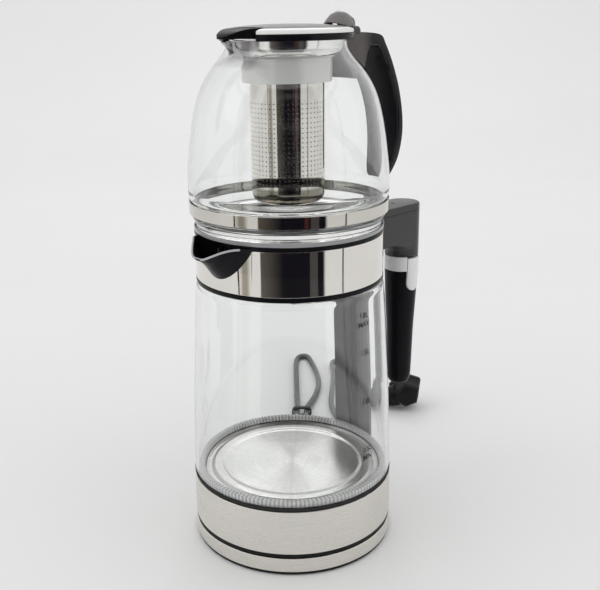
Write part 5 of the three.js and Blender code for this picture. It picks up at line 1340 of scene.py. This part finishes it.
POT_OUT_SHARES = [
    (0.16, 0.99), (0.4, 0.984), (0.6, 0.965), (0.675, 0.91), (0.763, 0.822), (0.837, 0.731), (0.911, 0.618),
    (0.97, 0.48), (1, 0.345), (0.995, 0.24), (0.96, 0.135), (0.905, 0.055),
]
POT_IN_SHARES = [
    (0.838, 0.03), (0.86, 0.085), (0.911, 0.194), (0.938, 0.324), (0.92, 0.463), (0.852, 0.602),
    (0.778, 0.713), (0.689, 0.824), (0.6, 0.896), (0.512, 0.917), (0.438, 0.904), (0.393, 0.87),
    (0.364, 0.815), (0.335, 0.76), (0.26, 0.712),
]
POT_FRONT_SHARES = [
    (1, 1.1), (1, 0.55), (0.965, 0.35), (0.84, 0.16), (0.66, 0.045), (0.45, -0.005), (0.2, -0.02),
]


def on_handle(shares):
    return [(NECK_R + HANDLE_REACH * u, POT_LOW + POT_HANDLE_TALL * v) for u, v in shares]


def handle_front(margin):
    """The handle's outline from behind, as a bar along X."""
    right = [((13 - margin) * u, POT_LOW + POT_HANDLE_TALL * v) for u, v in spline(POT_FRONT_SHARES, 5)]
    bar = extruded("front", right + [(-y, z) for y, z in reversed(right)], 0, 111)
    return moved(bar, Matrix(((0, 0, 1, 0), (1, 0, 0, 0), (0, 1, 0, 0), (0, 0, 0, 1))))


def grip_strip(name, depth, over, margin):
    """A strip along the inside of the handle."""
    run = on_handle(spline(POT_IN_SHARES[1:9], 5))
    strip = side_on(name, beside(run, over) + beside(run, -depth)[::-1], 13)
    return within(strip, handle_front(2.4 + margin))


def pot_handle():
    outline = on_handle([
        (0.04, 0.99), *spline(POT_OUT_SHARES, 5), (0.87, 0.012), (0.85, 0.006), *spline(POT_IN_SHARES, 5),
        (0.05, 0.74), (-0.1, 0.9),
    ])
    half, room_low, room_top = 6.8, 356.1, LID_TOP
    body = within(side_on("handle", outline, 14), handle_front(0), sharp=28)
    bevelled(body, 1.8, 4, 40, 40)
    fuse(body, bar_y("ears", 3.6, 12.9, HINGE_AT, 0.5))
    glass_side = [(0, POT_LOW), (68.2, POT_LOW), *[(r + GAP, z) for r, z in POT_WALL[1:]]]
    glass_side += [(NECK_R + GAP, 361), (0, 361)]
    cut(
        body,
        lathe("clearance", glass_side, 96),
        rod("ring_room", 44.5, room_low, room_top, segments=96),
        box("tongue_room", (43, -half, room_low), (47.6, half, 357.9)),
        box("swing", (52.1, -half, 354), (66.1, half, room_top)),
        box("arm_room", (0, -half, 360.3), (HINGE_X, half, room_top)),
        grip_strip("inlay_room", 2.6, 3, 0),
        hinge_bore(),
    )
    dress(body, "brown", "teapot", "teapot_handle")
    liner = bevelled(grip_strip("inlay", 2.3, 0, GAP), 0.4, 2)
    dress(liner, "black", "teapot", "teapot_handle_liner")
    dress(bar_y("hinge_rod", 1.5, 13, HINGE_AT, 0.3), "pin_painted_shade", "teapot", "lid_hinge_pin")


def hinge_bore():
    return bar_y("bore", 1.8, 30, HINGE_AT)


def lid_arm(margin=0.0):
    half = 6.5 + margin
    arm = box("arm", (37.5, -half, LID_LOW - margin), (HINGE_X, half, LID_LOW + 3 + margin))
    return fuse(arm, bar_y("knuckle", 3.1 + margin, half, HINGE_AT, 0 if margin else 0.4))


def pot_lid():
    edge_z, steps = 362.2, 20
    crown = LID_TOP - LID_LOW - 1.6
    dome = [(0, LID_LOW), (LID_R, LID_LOW, 0.3)]
    for i in range(steps):
        t = i / steps
        dome.append((LID_R * (1 - t * t), edge_z + crown * math.sqrt(1 - (1 - t * t) ** 2)))
    lid = lathe("lid_shell", dome + [(0, LID_TOP)], 2 * SEGS)
    cut(lid, box("notch", (-FAR, -NOTCH_HALF, 357), (-33.8, NOTCH_HALF, 370)))
    fuse(lid, lid_arm())
    cut(lid, hinge_bore(), bar_y("flap_bore", 1.1, 17.3, FLAP_PIN_AT, segments=24))
    dress(lid, "lid", "pot_lid", "teapot_lid")
    low, top = 358.3, 360.3
    liner = [
        (0, low), (33.0, low), (33.6, low + GAP), (35.4, low + GAP), (36.0, low), (37.4, low, 0.4),
        (37.4, top, 0.3), (0, top),
    ]
    dress(lathe("lid_plate", liner), "mirror", "pot_lid", "teapot_lid_liner")


TAB_SHARES = [
    (1.05, 0), (1.05, 0.1), (1.03, 0.3), (1, 0.49), (0.95, 0.62), (0.85, 0.74), (0.7, 0.84), (0.5, 0.92),
    (0.2, 0.985), (-0.1, 1), (-0.38, 0.93), (-0.6, 0.8), (-0.84, 0.62), (-1, 0.46), (-0.9, 0.42),
    (-0.7, 0.44), (-0.52, 0.55), (-0.36, 0.66), (-0.18, 0.73), (0, 0.76), (0.18, 0.74), (0.33, 0.66),
    (0.45, 0.55), (0.52, 0.42), (0.52, 0),
]
STEM_SHARES = [
    (1.0, 0), (1.0, 0.1), (0.98, 0.3), (0.95, 0.49), (0.9, 0.61), (0.8, 0.73), (0.65, 0.82), (0.45, 0.9),
    (0.15, 0.965), (0, 0.8), (0.18, 0.76), (0.33, 0.68), (0.45, 0.55), (0.52, 0.42), (0.52, 0),
]


def tab_skin(name, shares, half, leaf):
    """The tab's side outline carried across Y: lower towards its ends, and drawn in like a leaf."""
    foot, middle, reach, tall, wide = 362.6, 51, 9.9, 13.8, 11
    rings = []
    for k in range(25):
        y = half * math.sin((-1 + k / 12) * math.pi / 2)
        narrow = math.sqrt(max(1 - (y / half) ** 2, 0.012)) if leaf else 1.0
        low = 1 - 0.62 * (y / wide) * (y / wide)
        heights = [HINGE_Z + tall * v for _, v in shares]
        heights = [foot + (z - foot) * low if z > foot else z for z in heights]
        rings.append([(middle + reach * u * narrow, y, z) for (u, _), z in zip(shares, heights)])
    return lofted(name, rings, 28)


def thumb_tab():
    stem_back, pad_low = 54.2, 369.584
    room = box("room", (stem_back, -FAR, 0), (FAR, FAR, pad_low))
    pad = cut(tab_skin("tab", TAB_SHARES, 12.2, True), room)
    fuse(pad, tab_skin("stem", STEM_SHARES, 6.5, False))
    bevelled(pad, 0.45, 2, 40)
    dress(cut(pad, lid_arm(GAP)), "tab", "pot_lid", "thumb_tab")


def flap():
    """The flap over the beak: arched and hollow, turning on two pins."""
    low, step, top, tip, half = 358.2, 38.0, 364.4, -57, 15

    def side(drop, under):
        crest = top - drop
        return [
            (-36, LID_LOW), (-36, crest), (-41.0, crest - 0.1), (-45.6, crest - 0.6), (-50.0, crest - 1.7),
            (-53.8, crest - 3.3), (tip, low + 1.1 - drop), (tip, low - under), (-step, low - under),
            (-step, LID_LOW),
        ]

    def plan(margin):
        back, front, side_y = 37, -37.9, half - margin
        nose_end = arc(tip + 9, 0, 9 - margin, 0.62, 0.76, 24)
        return [(back, side_y), (front, side_y), *nose_end, (front, -side_y), (back, -side_y)]

    nose = within(side_on("nose", side(0, 0), half), extruded("plan", plan(0), low, top + 3))
    bevelled(nose, 0.7, 3, 30)
    room = side_on("room", side(1.8, 3), half)
    within(room, extruded("plan", plan(1.8), low - 3, top))
    within(room, box("keep", (tip, -half, 350), (-39.8, half, top)))
    cut(nose, room)
    fuse(nose, bar_y("barrel", 1.9, half, FLAP_PIN_AT, 0.3), bar_y("pins", 0.8, 17, FLAP_PIN_AT))
    dress(nose, "flap", "flap", "spout_flap")


def infuser():
    out = [
        (39.6, 357.3), (37.8, 357.3), (37.2, 356.5), (37.2, 351.2), (36.0, 348.2), (34.2, 346.2),
        (31.6, 345.0), (30.6, 344.6), (30.0, 343.2), (30.0, 330.6), (29.8, 329.9), (29.2, 329.6),
        (25.6, 329.6),
    ]
    funnel = lathe("funnel", out + beside(out, -0.58)[::-1], 2 * SEGS)
    dress(funnel, "funnel", "infuser", "infuser_funnel")
    flange_z = 330.5
    basket = [
        (0, 249.6), (17.5, 249.6), (20.5, 250.1), (22.8, 251.3), (24.3, 253.2), (BASKET_R, 256.0),
        (BASKET_R, flange_z), (28.6, flange_z), (28.6, flange_z + 0.6), (24.4, flange_z + 0.6),
        (24.4, 256.2), (23.8, 253.6), (22.4, 251.8), (20.2, 250.7), (17.4, 250.2), (0, 250.2),
    ]
    dress(lathe("basket", basket, 2 * SEGS), "basket", "infuser", "infuser_basket")


teapot_glass()
foot_band = ring("foot_band", 67.95, 68.7, 244.5, 252.4, (0.2, 0.3, 0.3, 0.2), 2 * SEGS)
dress(foot_band, "foot", "teapot", "teapot_foot_band")
neck_ring()
pot_handle()
pot_lid()
thumb_tab()
flap()
infuser()


# Marks on the kettle glass

def mark(name, text, z):
    """A generic capacity mark, laid on the outside of the glass."""
    curve = bpy.data.curves.new(name, "FONT")
    curve.body = text
    curve.size = 5.2 * MM
    curve.align_x = "CENTER"
    curve.resolution_u = 3
    curve.offset = 0.1 * MM
    words = placed(name, curve)
    mesh = bpy.data.meshes.new_from_object(words)
    bpy.data.objects.remove(words)
    azimuth, off_glass = math.radians(-88.0), 0.06
    for vertex in mesh.vertices:
        height = z + vertex.co.y / MM
        radius = glass_radius(height) + off_glass
        a = azimuth + vertex.co.x / MM / radius
        vertex.co = (radius * math.cos(a) * MM, radius * math.sin(a) * MM, height * MM)
    dress(placed(name, mesh), "marks", "kettle")


for tag, text, z in (
    ("18", "1.8L", 178.9), ("15", "1.5L", 153.3), ("10", "1.0L", 118.3), ("05", "0.5L", 83.2),
    ("max", "MAX", 173.0), ("min", "MIN", 77.3),
):
    mark("mark_" + tag, text, z)


# CAD nodes that stay, with a fine material

for node, material in (
    ("base_housing", "satin"), ("heating_element", "cast"), ("control_unit", "satin"),
    ("bimetal_disc", "brass"), ("spine_lead", "rubber"), ("handle_screw", "screw"), ("steam_switch", "satin"),
):
    paint(NODES[node], material)
    for polygon in NODES[node].data.polygons:
        polygon.use_smooth = False
